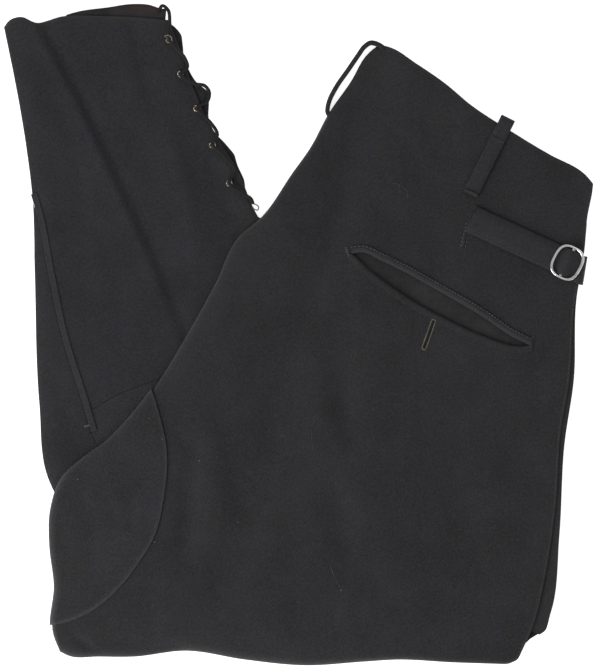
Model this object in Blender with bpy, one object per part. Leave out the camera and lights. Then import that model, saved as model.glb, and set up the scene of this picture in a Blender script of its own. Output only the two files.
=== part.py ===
"""Laced wool breeches, folded in half with the backs outside and the calves turned up underneath.

They lie flat: x runs to the right, y towards the waist, z up from the surface. Lengths are in
millimetres until a mesh is made. Each cloth piece is a wall cut out of one of two draped skins, the
thigh's and the calf's, and what lies on a panel is made from the panel's own points, moved out.
"""

import math

import bmesh
import bpy
import numpy as np
from mathutils import Vector
from mathutils.bvhtree import BVHTree

MILLIMETRE = 0.001

CLOTH = 2.2               # one layer of the thigh's milled wool
CALF_CLOTH = 2.0
SEAM = 0.3                # pieces sewn to each other stand this far apart
STACK = 9.6               # four layers on each other: the folded thigh, or the folded calf
FLOOR_GAP = 1.2           # a rolled edge ends this far above the surface
SIDE_ROLL = 4.8           # radius of the roll along the centre fold and inseam
KNEE_ROLL = 9.0           # and of the one at the knee, where eight layers turn
ROLL_ANGLES = (0, 35, 65, 90)
ROLL_CLEARANCE = 0.6      # between the hidden layers and the inside of a roll
CALF_MARGIN = 12.0        # the thigh lies level this far past the edge of the calf under it
CALF_SLOPE = 104.0         # and takes this long to come down to the surface

THIGH_COLUMNS = 21
THIGH_ROWS = 23
CALF_COLUMNS = 11
CALF_ROWS = 17

PATCH_CLOTH = 1.6
LAP_WIDTH = 5.4           # the raised side of the calf's lapped seam
LAP_CLOTH = 1.0
WELT_WIDTH = 5.0
WELT_CLOTH = 1.2
LIP_GAP = 0.4             # a welt stays this far back from the pocket's cut edge
BAG_CLOTH = 1.0
LOOP_WIDTH = 12.0
LOOP_CLOTH = 2.4
LOOP_SLACK = 0.8          # the loop stands off the panel by this much at its middle
BACK_LOOP_CLOTH = 3.2
BACK_LOOP_HEIGHT = 5.6
STRAP_WIDTH = 22.0
STRAP_CLOTH = 2.0
STRAP_HUMP = 3.8          # the strap's rise over the slide's middle bar, and half its length
STRAP_HUMP_LENGTH = 4.0
STRAP_PINCH = 0.04        # share of its width that it loses inside the slide
BUCKLE_LENGTH = 28.0
BUCKLE_WIDTH = 24.5
BUCKLE_SIDE_BAR = 3.0
BUCKLE_END_BAR = 2.2
BUCKLE_DEPTH = 2.1
BUCKLE_REACH = 16.0       # the strap lies level this far each way from the slide's centre
EYELET_RADIUS = 2.1
EYELET_WIRE = 0.6
LACE_RADIUS = 1.4
LACE_POINTS = 52

# Outlines, in order along each edge: x, y
WAIST_EDGE = [
    (64, 232), (75, 229), (94, 217), (116, 202), (139, 183), (171, 162), (201, 144), (230, 127.5),
    (236, 120.5)]
FOLD_EDGE = [
    (64, 232), (55, 224), (42.5, 203), (24.5, 177), (9.5, 149), (-4, 130), (-31, 92), (-46.5, 79),
    (-66.5, 39.5), (-86.5, 3.5), (-117.5, -46.5), (-139.6, -73.4), (-153.8, -87.4), (-169.3, -98.4),
    (-188.6, -116.8), (-196.6, -141), (-197.1, -169), (-193.6, -200), (-196, -240), (-190.5, -254)]
KNEE_EDGE = [
    (-190.5, -254), (-183, -257.5), (-160, -258), (-131, -258), (-90, -253.3), (-42, -260.5), (5.5, -265),
    (53.5, -262), (77.5, -260.5), (125, -262.8), (169, -264.3)]
OUTSEAM_EDGE = [
    (236, 120.5), (235, 113), (231.5, 96), (229, 68), (221.5, 27.5), (216, -42), (210.5, -73),
    (205.5, -140), (197, -196), (187.5, -234), (179.5, -252), (175, -260.5), (169, -264.3)]
FRONT_EDGE = [
    (232, 96), (229.4, 68), (223, 27.5), (221, -36), (213.5, -88), (209.5, -160), (202.5, -223),
    (195, -242), (183, -247)]
CALF_SIDE = [
    (-235, 246), (-227, 207), (-217, 149), (-212, 107), (-210.4, 51), (-206.7, -56), (-199.5, -116),
    (-193, -130)]
CALF_TUCKED_EDGE = [
    (-193, -130), (-176, -116), (-150, -95), (-120, -68), (-98, -33), (-72, 8), (-50, 47), (-34, 68),
    (-22, 80)]
HEM_EDGE = [
    (-235, 246), (-231, 251), (-221.5, 253.8), (-211, 249.5), (-188, 254.5), (-158, 254.8), (-118, 252.8),
    (-104, 251.5)]
FAR_HEM_EDGE = [(-192, 254), (-177.5, 258.5), (-154, 262), (-133, 264.8), (-117.5, 263.8), (-109, 261)]
LACED_EDGE = [
    (-104, 251.5), (-96, 231.5), (-89.6, 211.5), (-81.6, 191.5), (-71, 167.5), (-49, 131.5), (-31, 92),
    (-22, 80)]
CALF_FAR_EDGE = LACED_EDGE[:-1] + [(-14, 3.5), (9.5, -68), (28, -120), (38, -180), (42, -230), (44, -290)]
CALF_CREASE = [(-208, 247.5), (-178, 191.5), (-138, 107.5), (-118, 63.5), (-94, -0.5)]
CALF_SEAM_LINE = [(-214, 112), (-210, 98.5), (-200, 47.5), (-189, -3), (-173, -54), (-166, -78)]
CALF_SEAM_HIDDEN = [(-155, -101), (-150, -115)]
KNEE_SEAM_LINE = [(-176, -66), (-162.7, -58.8), (-145.6, -49), (-124, -40.4), (-100, -31)]
PATCH_EDGE = [
    (-125, -30), (-117.5, -43.5), (-111, -63.5), (-105, -92), (-107, -129), (-116, -164), (-127, -182),
    (-141.6, -201), (-169.6, -223.5), (-192, -231.5), (-206, -233)]
POCKET_UPPER_LIP = [
    (43, 65.5), (51, 66.5), (67, 59.8), (86, 50.6), (106, 39.5), (149.5, 14), (171, -0.6), (186, -8)]
POCKET_LOWER_LIP = [
    (43, 64.5), (55, 53), (73, 38.8), (91, 26.8), (119, 11.6), (149, -2), (178.5, -9.8), (187, -8.5)]
SIDE_LOOP_LINE = [(137.6, 111.5), (166.5, 169.5)]
BACK_LOOP_LINE = [
    (23.7, 178.1), (23.8, 182), (25.1, 187.2), (30.3, 197.6), (41.2, 213.4), (48.3, 223.8), (53.5, 230.8),
    (58, 233.6), (62, 233.1)]
STRAP_LINE = [(138.5, 92.5), (206, 61.6), (216, 57.2), (223.5, 53)]
STRAP_TURN = (226.3, 51.5)          # where the strap turns down over the outseam, and that edge's direction
STRAP_TURN_STEP = (0.16, 0.987)
BUCKLE_SHARE = 0.9                  # the slide's place along the strap
EYELET_PLACES = [(-103, 236), (-94, 208.5), (-81, 181), (-68.5, 151.5), (-55, 121)]
# The lace, round the hem's corner and over the edge between eyelets to its free end: x, y, z
LACE_ROUTE = [
    (-112, 258, 8.8), (-108.5, 263.3, 9.6), (-104.2, 260, 11.2), (-102.6, 250, 11.9), (-103, 236, 12.5),
    (-97.5, 229, 12), (-90.5, 221, 11.6), (-88.5, 214, 11.6), (-94, 208.5, 12.5), (-89, 203.5, 12.1),
    (-82, 200.5, 11.7), (-74.5, 199, 11.5), (-71, 194, 11.5), (-72, 187.5, 11.8), (-80.5, 181.3, 12.5),
    (-76, 175.5, 12.1), (-69.5, 169, 11.6), (-64.5, 160, 11.7), (-68.5, 151.5, 12.5), (-63, 146.5, 12.1),
    (-56, 140, 11.6), (-50.5, 131, 11.7), (-55, 121.2, 12.5), (-49, 116, 12.1), (-42, 111.5, 11.7),
    (-37.5, 108.5, 11.6), (-36, 104.5, 11.6)]

# A turn down over an edge: distance past the edge, drop
LOOP_TURN = [(1.6, 0.3), (2.8, 1.0), (3.5, 2.4), (3.5, 6.4)]
STRAP_DROP = [(0.6, 0.1), (2.2, 1.2), (3.0, 3.4), (3.0, 8.2)]

# Main folds of the thigh: height above the cloth round them, half width, line
THIGH_FOLDS = [
    (-2.2, 19, [(56, 200), (46, 150), (37, 108), (16, 40), (-2, -20), (-22, -84), (-38, -136)]),
    (-1.8, 14, [(14, 24), (26, -16), (37, -52), (42, -92), (31, -128), (44, -184)]),
    (-1.6, 10, [(-82, -92), (-87, -132), (-91, -180)]),
    (1.5, 12, [(-74, -76), (-68, -148)]),
    (1.2, 14, [(-22, -96), (-22, -188)]),
    (1.8, 14, [(46, 206), (12, 150), (-34, 80), (-92, -24)]),
    (-1.2, 12, [(66, 212), (46, 186)]),
    (-1.0, 12, [(82, 156), (96, 128)]),
    (-1.7, 20, [(-180, -262), (-90, -262), (5, -270), (80, -268)]),
]
CALF_FOLDS = [
    (-1.2, 10, [(-154, 262), (-154, 250)]),
    (1.2, 12, [(-102, 148), (-86, 104), (-78, 72)]),
    (-1.0, 8, [(-52, 96), (-46, 84)]),
]
CREASE_STEP = 2.2         # the calf's outer part stands this much higher, past its crease
CREASE_WIDTH = 7.0
PATCH_LOW = 12.0          # the knee patch ends this high, round the fold's side

# Where an under layer shows past the edge over it, and where the hidden layers draw back to let it
FRONT_SHOWN = (-238, 90)
FRONT_LEDGE = (-244, 96)
HEM_SHOWN = (-186, -106)
HEM_LEDGE = (-190, -106)

# The stepped edges of the hidden layers: distance in from the edge over them, share of its height
WAIST_LAYERS = [
    (0.5, 0.86), (2.0, 0.74), (0.5, 0.66), (2.0, 0.54), (0.5, 0.44), (2.0, 0.32), (0.5, 0.2), (0.9, 0.0)]
LEDGE_LAYERS = [(0.0, 0.9), (1.5, 0.75), (0.0, 0.6), (1.5, 0.4), (0.0, 0.25), (0.4, 0.0)]
CALF_LAYERS = [(0.6, 0.84), (2.0, 0.7), (0.6, 0.56), (2.0, 0.4), (0.6, 0.26), (0.9, 0.0)]
HEM_LAYERS = [(1.5, 0.5), (0.0, 0.36), (1.2, 0.2), (0.0, 0.0)]
LEDGE_INSET = 3.0         # an edge that shows under a panel starts this far in from the panel's edge
EDGE_MARGIN = 0.8         # and reaches this far past the layers under it
EDGE_DROP = 0.5
ROLL_END = 7.0            # the hidden layers go down past a roll's end this far in
PRESSED_END = 1.2         # this far where the roll is pressed down on the calf
CALF_ROOM = 26.0          # and this far where the calf passes in under the inseam
CALF_ROOM_END = -153.0    # the y where that room closes
CALF_ROOM_FADE = 22.0
CALF_REACH = 22.0         # the calf's layers reach this far past its tucked edge


class Curve:
    """A smooth line through a table's points, read by its share of the length."""

    def __init__(self, table):
        knots = np.array(table, float)
        chords = np.linalg.norm(np.diff(knots, axis=0), axis=1)[:, None]
        slopes = np.diff(knots, axis=0) / chords
        inner = (slopes[:-1] * chords[1:] + slopes[1:] * chords[:-1]) / (chords[1:] + chords[:-1])
        tangents = np.vstack([slopes[:1], inner, slopes[-1:]])
        steps = np.linspace(0, 1, 12, endpoint=False)[:, None]
        pieces = [hermite(knots[i], knots[i + 1], tangents[i] * chords[i], tangents[i + 1] * chords[i], steps)
                  for i in range(len(chords))]
        self.points = np.vstack(pieces + [knots[-1:]])
        run = np.concatenate([[0], np.cumsum(np.linalg.norm(np.diff(self.points, axis=0), axis=1))])
        self.length = run[-1]
        self.shares = run / self.length

    def at(self, share):
        return np.stack([np.interp(share, self.shares, coordinate) for coordinate in self.points.T], -1)

    def moved(self, distance, count=40):
        """Points beside the line, to its left by the distance."""
        shares = np.linspace(0, 1, count)
        points = self.at(shares)
        ahead = np.gradient(points, axis=0)
        ahead /= np.linalg.norm(ahead, axis=1)[:, None]
        return points + np.stack([-ahead[:, 1], ahead[:, 0]], -1) * distance


def hermite(start, end, leaving, arriving, t):
    return ((2 * t**3 - 3 * t**2 + 1) * start + (t**3 - 2 * t**2 + t) * leaving
            + (3 * t**2 - 2 * t**3) * end + (t**3 - t**2) * arriving)


def smooth_step(value):
    value = np.clip(value, 0, 1)
    return value * value * (3 - 2 * value)


def side_distance(points, line):
    """Distance from each point to a line, positive on the line's left."""
    flat = points.reshape(-1, 2)
    start, end = line[:-1], line[1:]
    along = end - start
    lengths = (along**2).sum(1)
    offset = flat[:, None] - start
    share = np.clip((offset * along).sum(2) / lengths, 0, 1)
    gap = offset - share[..., None] * along
    distance = np.linalg.norm(gap, axis=2)
    nearest = distance.argmin(1)
    rows = np.arange(len(flat))
    turn = along[nearest, 0] * gap[rows, nearest, 1] - along[nearest, 1] * gap[rows, nearest, 0]
    return (distance[rows, nearest] * np.sign(turn + 1e-12)).reshape(points.shape[:-1])


def fold_heights(points, folds):
    total = np.zeros(points.shape[:-1])
    for height, width, line in folds:
        total += height * np.exp(-(side_distance(points, Curve(line).points) / width) ** 2)
    return total


class Outline:
    """Four edges, and the plan inside them: across from 0 to 1, down from 0 to 1."""

    def __init__(self, top, bottom, left, right):
        self.top, self.bottom, self.left, self.right = (Curve(edge) for edge in (top, bottom, left, right))

    def plan(self, across, down):
        a, d = across[..., None], down[..., None]
        corners = ((1 - a) * (1 - d) * self.top.points[0] + a * (1 - d) * self.top.points[-1]
                   + (1 - a) * d * self.bottom.points[0] + a * d * self.bottom.points[-1])
        return ((1 - d) * self.top.at(across) + d * self.bottom.at(across)
                + (1 - a) * self.left.at(down) + a * self.right.at(down) - corners)

    def width(self, down):
        return np.linalg.norm(self.right.at(down) - self.left.at(down), axis=-1)

    def depth(self, across):
        return np.linalg.norm(self.bottom.at(across) - self.top.at(across), axis=-1)


THIGH = Outline(WAIST_EDGE, KNEE_EDGE, FOLD_EDGE, OUTSEAM_EDGE)
CALF = Outline(HEM_EDGE, CALF_TUCKED_EDGE, CALF_SIDE, LACED_EDGE)
FAR_EDGE = Curve(CALF_FAR_EDGE).points


def over_calf(points):
    """1 where the thigh lies on the turned-up calf, 0 where it lies on the surface."""
    return smooth_step(1 + (CALF_MARGIN - side_distance(points, FAR_EDGE)) / CALF_SLOPE)


def thigh_height(points):
    return STACK * (1 + over_calf(points)) + fold_heights(points, THIGH_FOLDS)


def calf_height(points):
    outside = smooth_step(0.5 - side_distance(points, Curve(CALF_CREASE).points) / CREASE_WIDTH)
    fade = smooth_step((-side_distance(points, Curve(FOLD_EDGE).points) - 6) / 45)
    rounding = -1.0 * np.exp(-(side_distance(points, Curve(CALF_SIDE).points) / 6) ** 2)
    return STACK - 0.3 + CREASE_STEP * outside * fade + rounding + fold_heights(points, CALF_FOLDS)


class Skin:
    """An open surface with its outer side out, and walls made by moving its points along its normals."""

    def __init__(self, points, faces):
        self.points = points
        self.faces = faces
        corners = points[np.array(faces)]
        crosses = np.cross(corners[:, 1] - corners[:, 0], corners[:, 2] - corners[:, 0])
        normals = np.zeros_like(points)
        for place in range(3):
            np.add.at(normals, np.array(faces)[:, place], crosses)
        self.normals = normals / np.linalg.norm(normals, axis=1)[:, None]

    def moved(self, distance):
        return self.points + self.normals * distance

    def wall(self, inner, outer):
        """Points and faces of the closed wall from one distance to the other."""
        count = len(self.points)
        edges = {}
        for face in self.faces:
            for start, end in zip(face, face[1:] + face[:1]):
                edges[(start, end)] = True
        rim = [(end, start, start + count, end + count) for start, end in edges if (end, start) not in edges]
        inside = [tuple(corner + count for corner in reversed(face)) for face in self.faces]
        return np.vstack([self.moved(outer), self.moved(inner)]), self.faces + inside + rim


def roll_rise(inset, radius):
    return np.sqrt(1 - (1 - np.clip(inset / radius, 0, 1)) ** 2)


def thigh_grid():
    """Across and down shares of the thigh's points, with closer lines round its two rolls."""
    insets = [1 - math.cos(math.radians(angle)) for angle in ROLL_ANGLES]
    rolled = len(insets)
    side = np.array(insets)[None, :] * SIDE_ROLL / THIGH.width(np.linspace(0, 1, THIGH_ROWS + rolled))[:, None]
    depth = THIGH.depth(np.linspace(0, 1, THIGH_COLUMNS + rolled))
    knee = np.array(insets[::-1])[:, None] * KNEE_ROLL / depth[None, :]
    flat_columns = np.linspace(0, 1, THIGH_COLUMNS + 1)[1:]
    flat_rows = np.linspace(0, 1, THIGH_ROWS + 1)[:-1]
    start = side[:, -1:]
    across = np.hstack([side, start + (1 - start) * flat_columns])
    end = 1 - knee[:1]
    down = np.vstack([end * flat_rows[:, None], 1 - knee])
    return across, down


def thigh_low(points, down):
    """Height that the rolled edge comes down to: on the calf, or near the surface."""
    on_calf = over_calf(points) * smooth_step((1 - down) * 7 - 0.15)
    return FLOOR_GAP + (STACK + 0.1 - FLOOR_GAP) * on_calf


def thigh_points(across, down, below):
    plan = THIGH.plan(across, down)
    rise = np.minimum(roll_rise(across * THIGH.width(down), SIDE_ROLL),
                      roll_rise((1 - down) * THIGH.depth(across), KNEE_ROLL))
    top = thigh_height(plan)
    low = thigh_low(plan, down)
    middle = (top + low) / 2
    height = middle + (top - middle) * rise * (-1 if below else 1)
    return np.concatenate([plan, height[..., None]], -1)


def halves(first, second, third, fourth):
    """A four-sided face as two triangles, always split the same way, so that moved copies stay parallel."""
    return [(first, second, third), (first, third, fourth)]


def grid_faces(numbers):
    """Faces of a grid of point numbers, seen from above with across to the right and down the page."""
    faces = []
    for row in range(numbers.shape[0] - 1):
        for column in range(numbers.shape[1] - 1):
            faces += halves(numbers[row, column], numbers[row + 1, column], numbers[row + 1, column + 1],
                            numbers[row, column + 1])
    return faces


def thigh_skin():
    """The thigh from above, and the parts of it that turn in under the centre fold and the knee."""
    across, down = thigh_grid()
    rows, columns = across.shape
    turned = len(ROLL_ANGLES) - 2
    above = np.arange(rows * columns).reshape(rows, columns)
    under = above + rows * columns
    under[:, 0] = above[:, 0]
    under[-1, :] = above[-1, :]
    faces = grid_faces(above)
    for row in range(rows - 1):
        for column in range(columns - 1):
            if column < turned or row >= rows - 1 - turned:
                faces += halves(under[row, column + 1], under[row + 1, column + 1], under[row + 1, column],
                                under[row, column])
    points = np.vstack([thigh_points(across, down, below).reshape(-1, 3) for below in (False, True)])
    used = sorted({corner for face in faces for corner in face})
    new_number = {int(old): new for new, old in enumerate(used)}
    faces = [tuple(new_number[int(corner)] for corner in face) for face in faces]
    return Skin(points[used], faces), across, down


def calf_skin():
    across, down = np.meshgrid(np.linspace(0, 1, CALF_COLUMNS + 1), np.linspace(0, 1, CALF_ROWS + 1))
    plan = CALF.plan(across, down)
    points = np.concatenate([plan, calf_height(plan)[..., None]], -1)
    faces = grid_faces(np.arange(across.size).reshape(across.shape))
    return Skin(points.reshape(-1, 3), faces), across, down


def material(name, colour, roughness, metallic=0.0):
    result = bpy.data.materials.new(name)
    result.use_nodes = True
    shader = result.node_tree.nodes["Principled BSDF"]
    shader.inputs["Base Color"].default_value = (*colour, 1)
    shader.inputs["Roughness"].default_value = roughness
    shader.inputs["Metallic"].default_value = metallic
    return result


def mesh_object(name, points, faces, finish):
    mesh = bpy.data.meshes.new(name)
    places = [tuple(point) for point in np.asarray(points) * MILLIMETRE]
    mesh.from_pydata(places, [], [tuple(map(int, face)) for face in faces])
    mesh.update()
    built = bpy.data.objects.new(name, mesh)
    bpy.context.scene.collection.objects.link(built)
    if finish:
        mesh.materials.append(finish)
    return built


def combine(target, tool, operation):
    """Cut, join or keep the common part of two solids, and drop the tool."""
    modifier = target.modifiers.new(operation.lower(), "BOOLEAN")
    modifier.operation = operation
    modifier.solver = "EXACT"
    modifier.object = tool
    evaluated = target.evaluated_get(bpy.context.evaluated_depsgraph_get())
    mesh = bpy.data.meshes.new_from_object(evaluated)
    target.modifiers.clear()
    target.data = mesh
    bpy.data.objects.remove(tool)
    return target


def prism(outline, low=-5.0, high=40.0):
    """An upright cutter with the outline's plan."""
    outline = np.array(outline, float)
    following = np.roll(outline, -1, axis=0)
    if (outline[:, 0] * following[:, 1] - outline[:, 1] * following[:, 0]).sum() < 0:
        outline = outline[::-1]
    count = len(outline)
    points = [(*corner, height) for height in (low, high) for corner in outline]
    sides = [(i, (i + 1) % count, (i + 1) % count + count, i + count) for i in range(count)]
    caps = [tuple(reversed(range(count))), tuple(range(count, 2 * count))]
    return mesh_object("cutter", points, sides + caps, None)


def cloth_piece(name, skin, inner, outer, outline, finish, low=-5.0):
    """The part of a skin's wall that lies inside an outline, and above a height."""
    return combine(mesh_object(name, *skin.wall(inner, outer), finish), prism(outline, low), "INTERSECT")


def band_between(line, near, far):
    """The outline of a band beside a line, from one distance to another."""
    return np.vstack([line.moved(near), line.moved(far)[::-1]])


def ring_solid(name, cap, rings, finish):
    """A solid with a grid on top and rings of points down its sides, closed flat underneath."""
    rows, columns = cap.shape[:2]
    numbers = np.arange(rows * columns).reshape(rows, columns)
    loop = np.concatenate([numbers[:-1, 0], numbers[-1, :-1], numbers[:0:-1, -1], numbers[0, :0:-1]])
    count = len(loop)
    faces = grid_faces(numbers)
    points = [cap.reshape(-1, 3)]
    for index, ring in enumerate(rings):
        lower = rows * columns + index * count + np.arange(count)
        faces += [(loop[i], lower[i], lower[(i + 1) % count], loop[(i + 1) % count]) for i in range(count)]
        points.append(ring)
        loop = lower
    return mesh_object(name, np.vstack(points), faces + [tuple(reversed(loop.tolist()))], finish)


def inward(line, shares):
    """Unit steps in from an edge that runs with the cloth on its left."""
    ahead = line.at(np.clip(shares + 0.01, 0, 1)) - line.at(np.clip(shares - 0.01, 0, 1))
    ahead /= np.linalg.norm(ahead, axis=-1)[:, None]
    return np.stack([-ahead[:, 1], ahead[:, 0]], -1)


def ring(outline, across, down, sides):
    """Points round the cap's four sides. A side is the distance in from its edge and the height, per line."""
    left, bottom, right, top = sides
    edges = [
        (outline.left, down[:, 0], 1, left), (outline.bottom, across[-1], 1, bottom),
        (outline.right, down[:, -1], -1, right), (outline.top, across[0], -1, top)]
    rows = []
    for line, shares, facing, (inset, height) in edges:
        inset = np.broadcast_to(inset, shares.shape)
        step = inward(line, shares) * facing * inset[:, None]
        rows.append([line.at(shares), step, np.broadcast_to(height, shares.shape)])
    meetings = [
        (outline.left, 1.0, -1, 0), (outline.bottom, 1.0, -1, -1),
        (outline.right, 0.0, 0, -1), (outline.top, 0.0, 0, 0)]
    for place, (line, share, first, second) in enumerate(meetings):
        here, after = rows[place], rows[(place + 1) % 4]
        corner = line.at(np.array([share]))[0]
        here[0][first] = corner + after[1][second]
        after[0][second] = corner + here[1][first]
    there, back = slice(None, -1), slice(None, 0, -1)
    return np.vstack([np.concatenate([(place + step)[part], height[part, None]], -1)
                      for (place, step, height), part in zip(rows, (there, there, back, back))])


def drawn_in(cap, left=0.0, bottom=0.0, right=0.0, top=0.0):
    """The cap with its outer lines moved towards the next ones by a distance, and let down a little."""
    cap = cap.copy()
    for line, following, distance in [
            (np.s_[:, 0], np.s_[:, 1], left), (np.s_[-1, :], np.s_[-2, :], bottom),
            (np.s_[:, -1], np.s_[:, -2], right), (np.s_[0, :], np.s_[1, :], top)]:
        step = cap[following] - cap[line]
        cap[line] += step * distance / np.linalg.norm(step, axis=-1)[:, None]
        cap[(*line, 2)] -= EDGE_DROP
    return cap


def between(values, limits):
    return (values > limits[0]) & (values < limits[1])


def roll_rings(radius, edge_top, edge_low):
    """Distance in and height of the hidden layers inside a roll, for each of its turning points."""
    middle = (edge_top + edge_low) / 2
    rise = (edge_top - edge_low) / 2 - CLOTH - ROLL_CLEARANCE
    reach = radius - CLOTH - ROLL_CLEARANCE
    turns = np.radians((45, 0, -35))
    return [(radius - reach * math.cos(turn), middle + rise * math.sin(turn)) for turn in turns]


def strip_width(places, line):
    """How far an under layer shows past the edge, at places along that edge."""
    return np.abs(side_distance(places, Curve(line).points))


def thigh_core(skin, across, down, finish):
    """The thigh's hidden layers, with room under the inseam for the calf."""
    rolled = len(ROLL_ANGLES) - 1
    points = skin.moved(-CLOTH - SEAM)[:across.size].reshape(*across.shape, 3)
    cap = drawn_in(
        points[:-rolled, rolled:], left=0.8, bottom=1.5, right=LEDGE_INSET + 1.5, top=WAIST_LAYERS[0][0])
    across, down = across[:-rolled, rolled:], down[:-rolled, rolled:]
    side, knee = THIGH.left.at(down[:, 0]), THIGH.bottom.at(across[-1])
    side_low = thigh_low(side, down[:, 0])
    side_rings = roll_rings(SIDE_ROLL, thigh_height(side), side_low)
    on_calf = over_calf(side)
    beside_calf = smooth_step((side[:, 1] - CALF_ROOM_END) / CALF_ROOM_FADE)
    lying_down = on_calf * (1 - beside_calf) * smooth_step((side_low - STACK + 1.4) / 1.2)
    pressed = ROLL_END + (PRESSED_END - ROLL_END) * lying_down
    under = pressed + (CALF_ROOM - pressed) * smooth_step(on_calf * 1.6) * beside_calf
    stepped = under + 1.2 * (under < 4)
    side_rings += [
        (np.maximum(under, ROLL_END), side_low + 0.1), (under, side_low * 0.9), (stepped, side_low * 0.6),
        (under, side_low * 0.3), (under, 0 * side_low)]
    knee_rings = roll_rings(KNEE_ROLL, thigh_height(knee), FLOOR_GAP)
    knee_rings += [(ROLL_END + 3, FLOOR_GAP + 0.1)] + [(ROLL_END, height) for height in (0.9, 0.6, 0.3, 0.0)]
    waist = cap[0, :, 2]
    waist_rings = [(inset, waist * share) for inset, share in WAIST_LAYERS]
    seam = THIGH.right.at(down[:, -1])
    out = EDGE_MARGIN - strip_width(seam, FRONT_EDGE) * between(seam[:, 1], FRONT_LEDGE)
    edge = points[:-rolled, -1, 2]
    ledge = edge - CLOTH - SEAM
    seam_rings = [(LEDGE_INSET, ledge), (out, ledge)]
    seam_rings += [(out + inset, ledge * share) for inset, share in LEDGE_LAYERS]
    rings = [ring(THIGH, across, down, sides) for sides in zip(side_rings, knee_rings, seam_rings, waist_rings)]
    return ring_solid("hidden_layers", cap, rings, finish)


def calf_core(skin, across, down, finish):
    """The turned-up calf's hidden layers, reaching in under the thigh to meet the thigh's."""
    points = skin.moved(-CALF_CLOTH - SEAM).reshape(*across.shape, 3)
    cap = drawn_in(points, left=CALF_LAYERS[0][0], right=CALF_LAYERS[0][0], top=LEDGE_INSET + 1.0)
    hem = CALF.top.at(across[0])
    out = EDGE_MARGIN - strip_width(hem, FAR_HEM_EDGE) * between(hem[:, 0], HEM_LEDGE)
    edge = points[0, :, 2]
    ledge = edge - CALF_CLOTH - SEAM
    hem_rings = [(LEDGE_INSET, ledge), (out, ledge)]
    hem_rings += [(out + inset, edge * share) for inset, share in HEM_LAYERS]
    left_rings = [(inset, cap[:, 0, 2] * share) for inset, share in CALF_LAYERS]
    right_rings = [(inset, cap[:, -1, 2] * share) for inset, share in CALF_LAYERS]
    under_rings = [(-CALF_REACH, cap[-1, :, 2] * share) for share in (0.98, 0.8, 0.6, 0.4, 0.2, 0.0)]
    rings = [ring(CALF, across, down, sides) for sides in zip(left_rings, under_rings, right_rings, hem_rings)]
    return ring_solid("calf_layers", cap, rings, finish)


def edge_band(name, edge, steps_in, widths, tops, thickness, finish):
    """A strip of cloth under a panel's edge, showing past it by the given widths."""
    inner = edge + steps_in * (LEDGE_INSET - SEAM)
    outer = edge - steps_in * widths[:, None]
    layers = [(inner, tops), (outer, tops), (outer, tops - thickness), (inner, tops - thickness)]
    points = np.vstack([np.concatenate([plan, height[:, None]], -1) for plan, height in layers])
    return turned_out(mesh_object(name, points, tube_faces(np.arange(len(points)).reshape(4, -1)), finish))


def tube_sides(sections):
    """Faces round a run of closed sections, given as one row of point numbers per corner."""
    faces = []
    for first, second in zip(sections, np.roll(sections, -1, axis=0)):
        faces += zip(first[:-1], second[:-1], second[1:], first[1:])
    return faces


def tube_faces(sections):
    return tube_sides(sections) + [tuple(sections[::-1, 0]), tuple(sections[:, -1])]


def ring_faces(corners, steps):
    """Faces of a closed ring whose points are numbered corner by corner."""
    numbers = np.arange(corners * steps).reshape(corners, steps)
    return tube_sides(np.hstack([numbers, numbers[:, :1]]))


def turned_out(built):
    """Make the faces point out."""
    shape = bmesh.new()
    shape.from_mesh(built.data)
    bmesh.ops.recalc_face_normals(shape, faces=shape.faces)
    shape.to_mesh(built.data)
    shape.free()
    return built


def ribbon(name, path, across, thickness, finish):
    """A flat band along a path of centre points; across holds half its width at each."""
    path, across = np.array(path, float), np.array(across, float)
    ahead = np.gradient(path, axis=0)
    up = np.cross(ahead, across)
    up *= thickness / 2 / np.linalg.norm(up, axis=1)[:, None]
    corners = [path + across + up, path - across + up, path - across - up, path + across - up]
    sections = np.arange(4 * len(path)).reshape(4, len(path))
    return turned_out(mesh_object(name, np.vstack(corners), tube_faces(sections), finish))


class Ground:
    """Reads the height of a skin's outer side under a point."""

    def __init__(self, skin):
        self.tree = BVHTree.FromPolygons([Vector(point) for point in skin.points],
                                         [[int(corner) for corner in face] for face in skin.faces])

    def height(self, x, y):
        hit = self.tree.ray_cast(Vector((x, y, 100)), Vector((0, 0, -1)))[0]
        return hit.z if hit else None

    def highest(self, place, across):
        heights = [self.height(*(place + across * share)) for share in (-1, -0.5, 0, 0.5, 1)]
        return max(height for height in heights if height is not None)


def sideways(direction, width):
    direction = np.array(direction, float)
    direction /= np.linalg.norm(direction)
    return np.array([-direction[1], direction[0]]) * width / 2


def side_loop(ground, finish):
    """The belt loop over the waist edge: flat on the panel, then down in front of the edge."""
    foot, crest = (np.array(point, float) for point in SIDE_LOOP_LINE)
    across = sideways(crest - foot, LOOP_WIDTH)
    ahead = (crest - foot) / np.linalg.norm(crest - foot)
    path = []
    for share in np.linspace(0, 0.94, 7):
        place = foot + (crest - foot) * share
        lift = SEAM + LOOP_CLOTH / 2 + LOOP_SLACK * math.sin(math.pi * share)
        path.append((*place, ground.highest(place, across) + lift))
    level = path[-1][2]
    for past, drop in LOOP_TURN:
        path.append((*(crest + ahead * past), level - drop))
    return ribbon("belt_loop_side", path, [(*across, 0)] * len(path), LOOP_CLOTH, finish)


def back_loop(finish):
    """The centre-back belt loop, seen edge on because the cloth is folded through it."""
    path = [(x, y, BACK_LOOP_HEIGHT) for x, y in Curve(BACK_LOOP_LINE).at(np.linspace(0, 1, 14))]
    return ribbon("belt_loop_back", path, [(0, 0, LOOP_WIDTH / 2 - 0.6)] * len(path), BACK_LOOP_CLOTH, finish)


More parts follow.
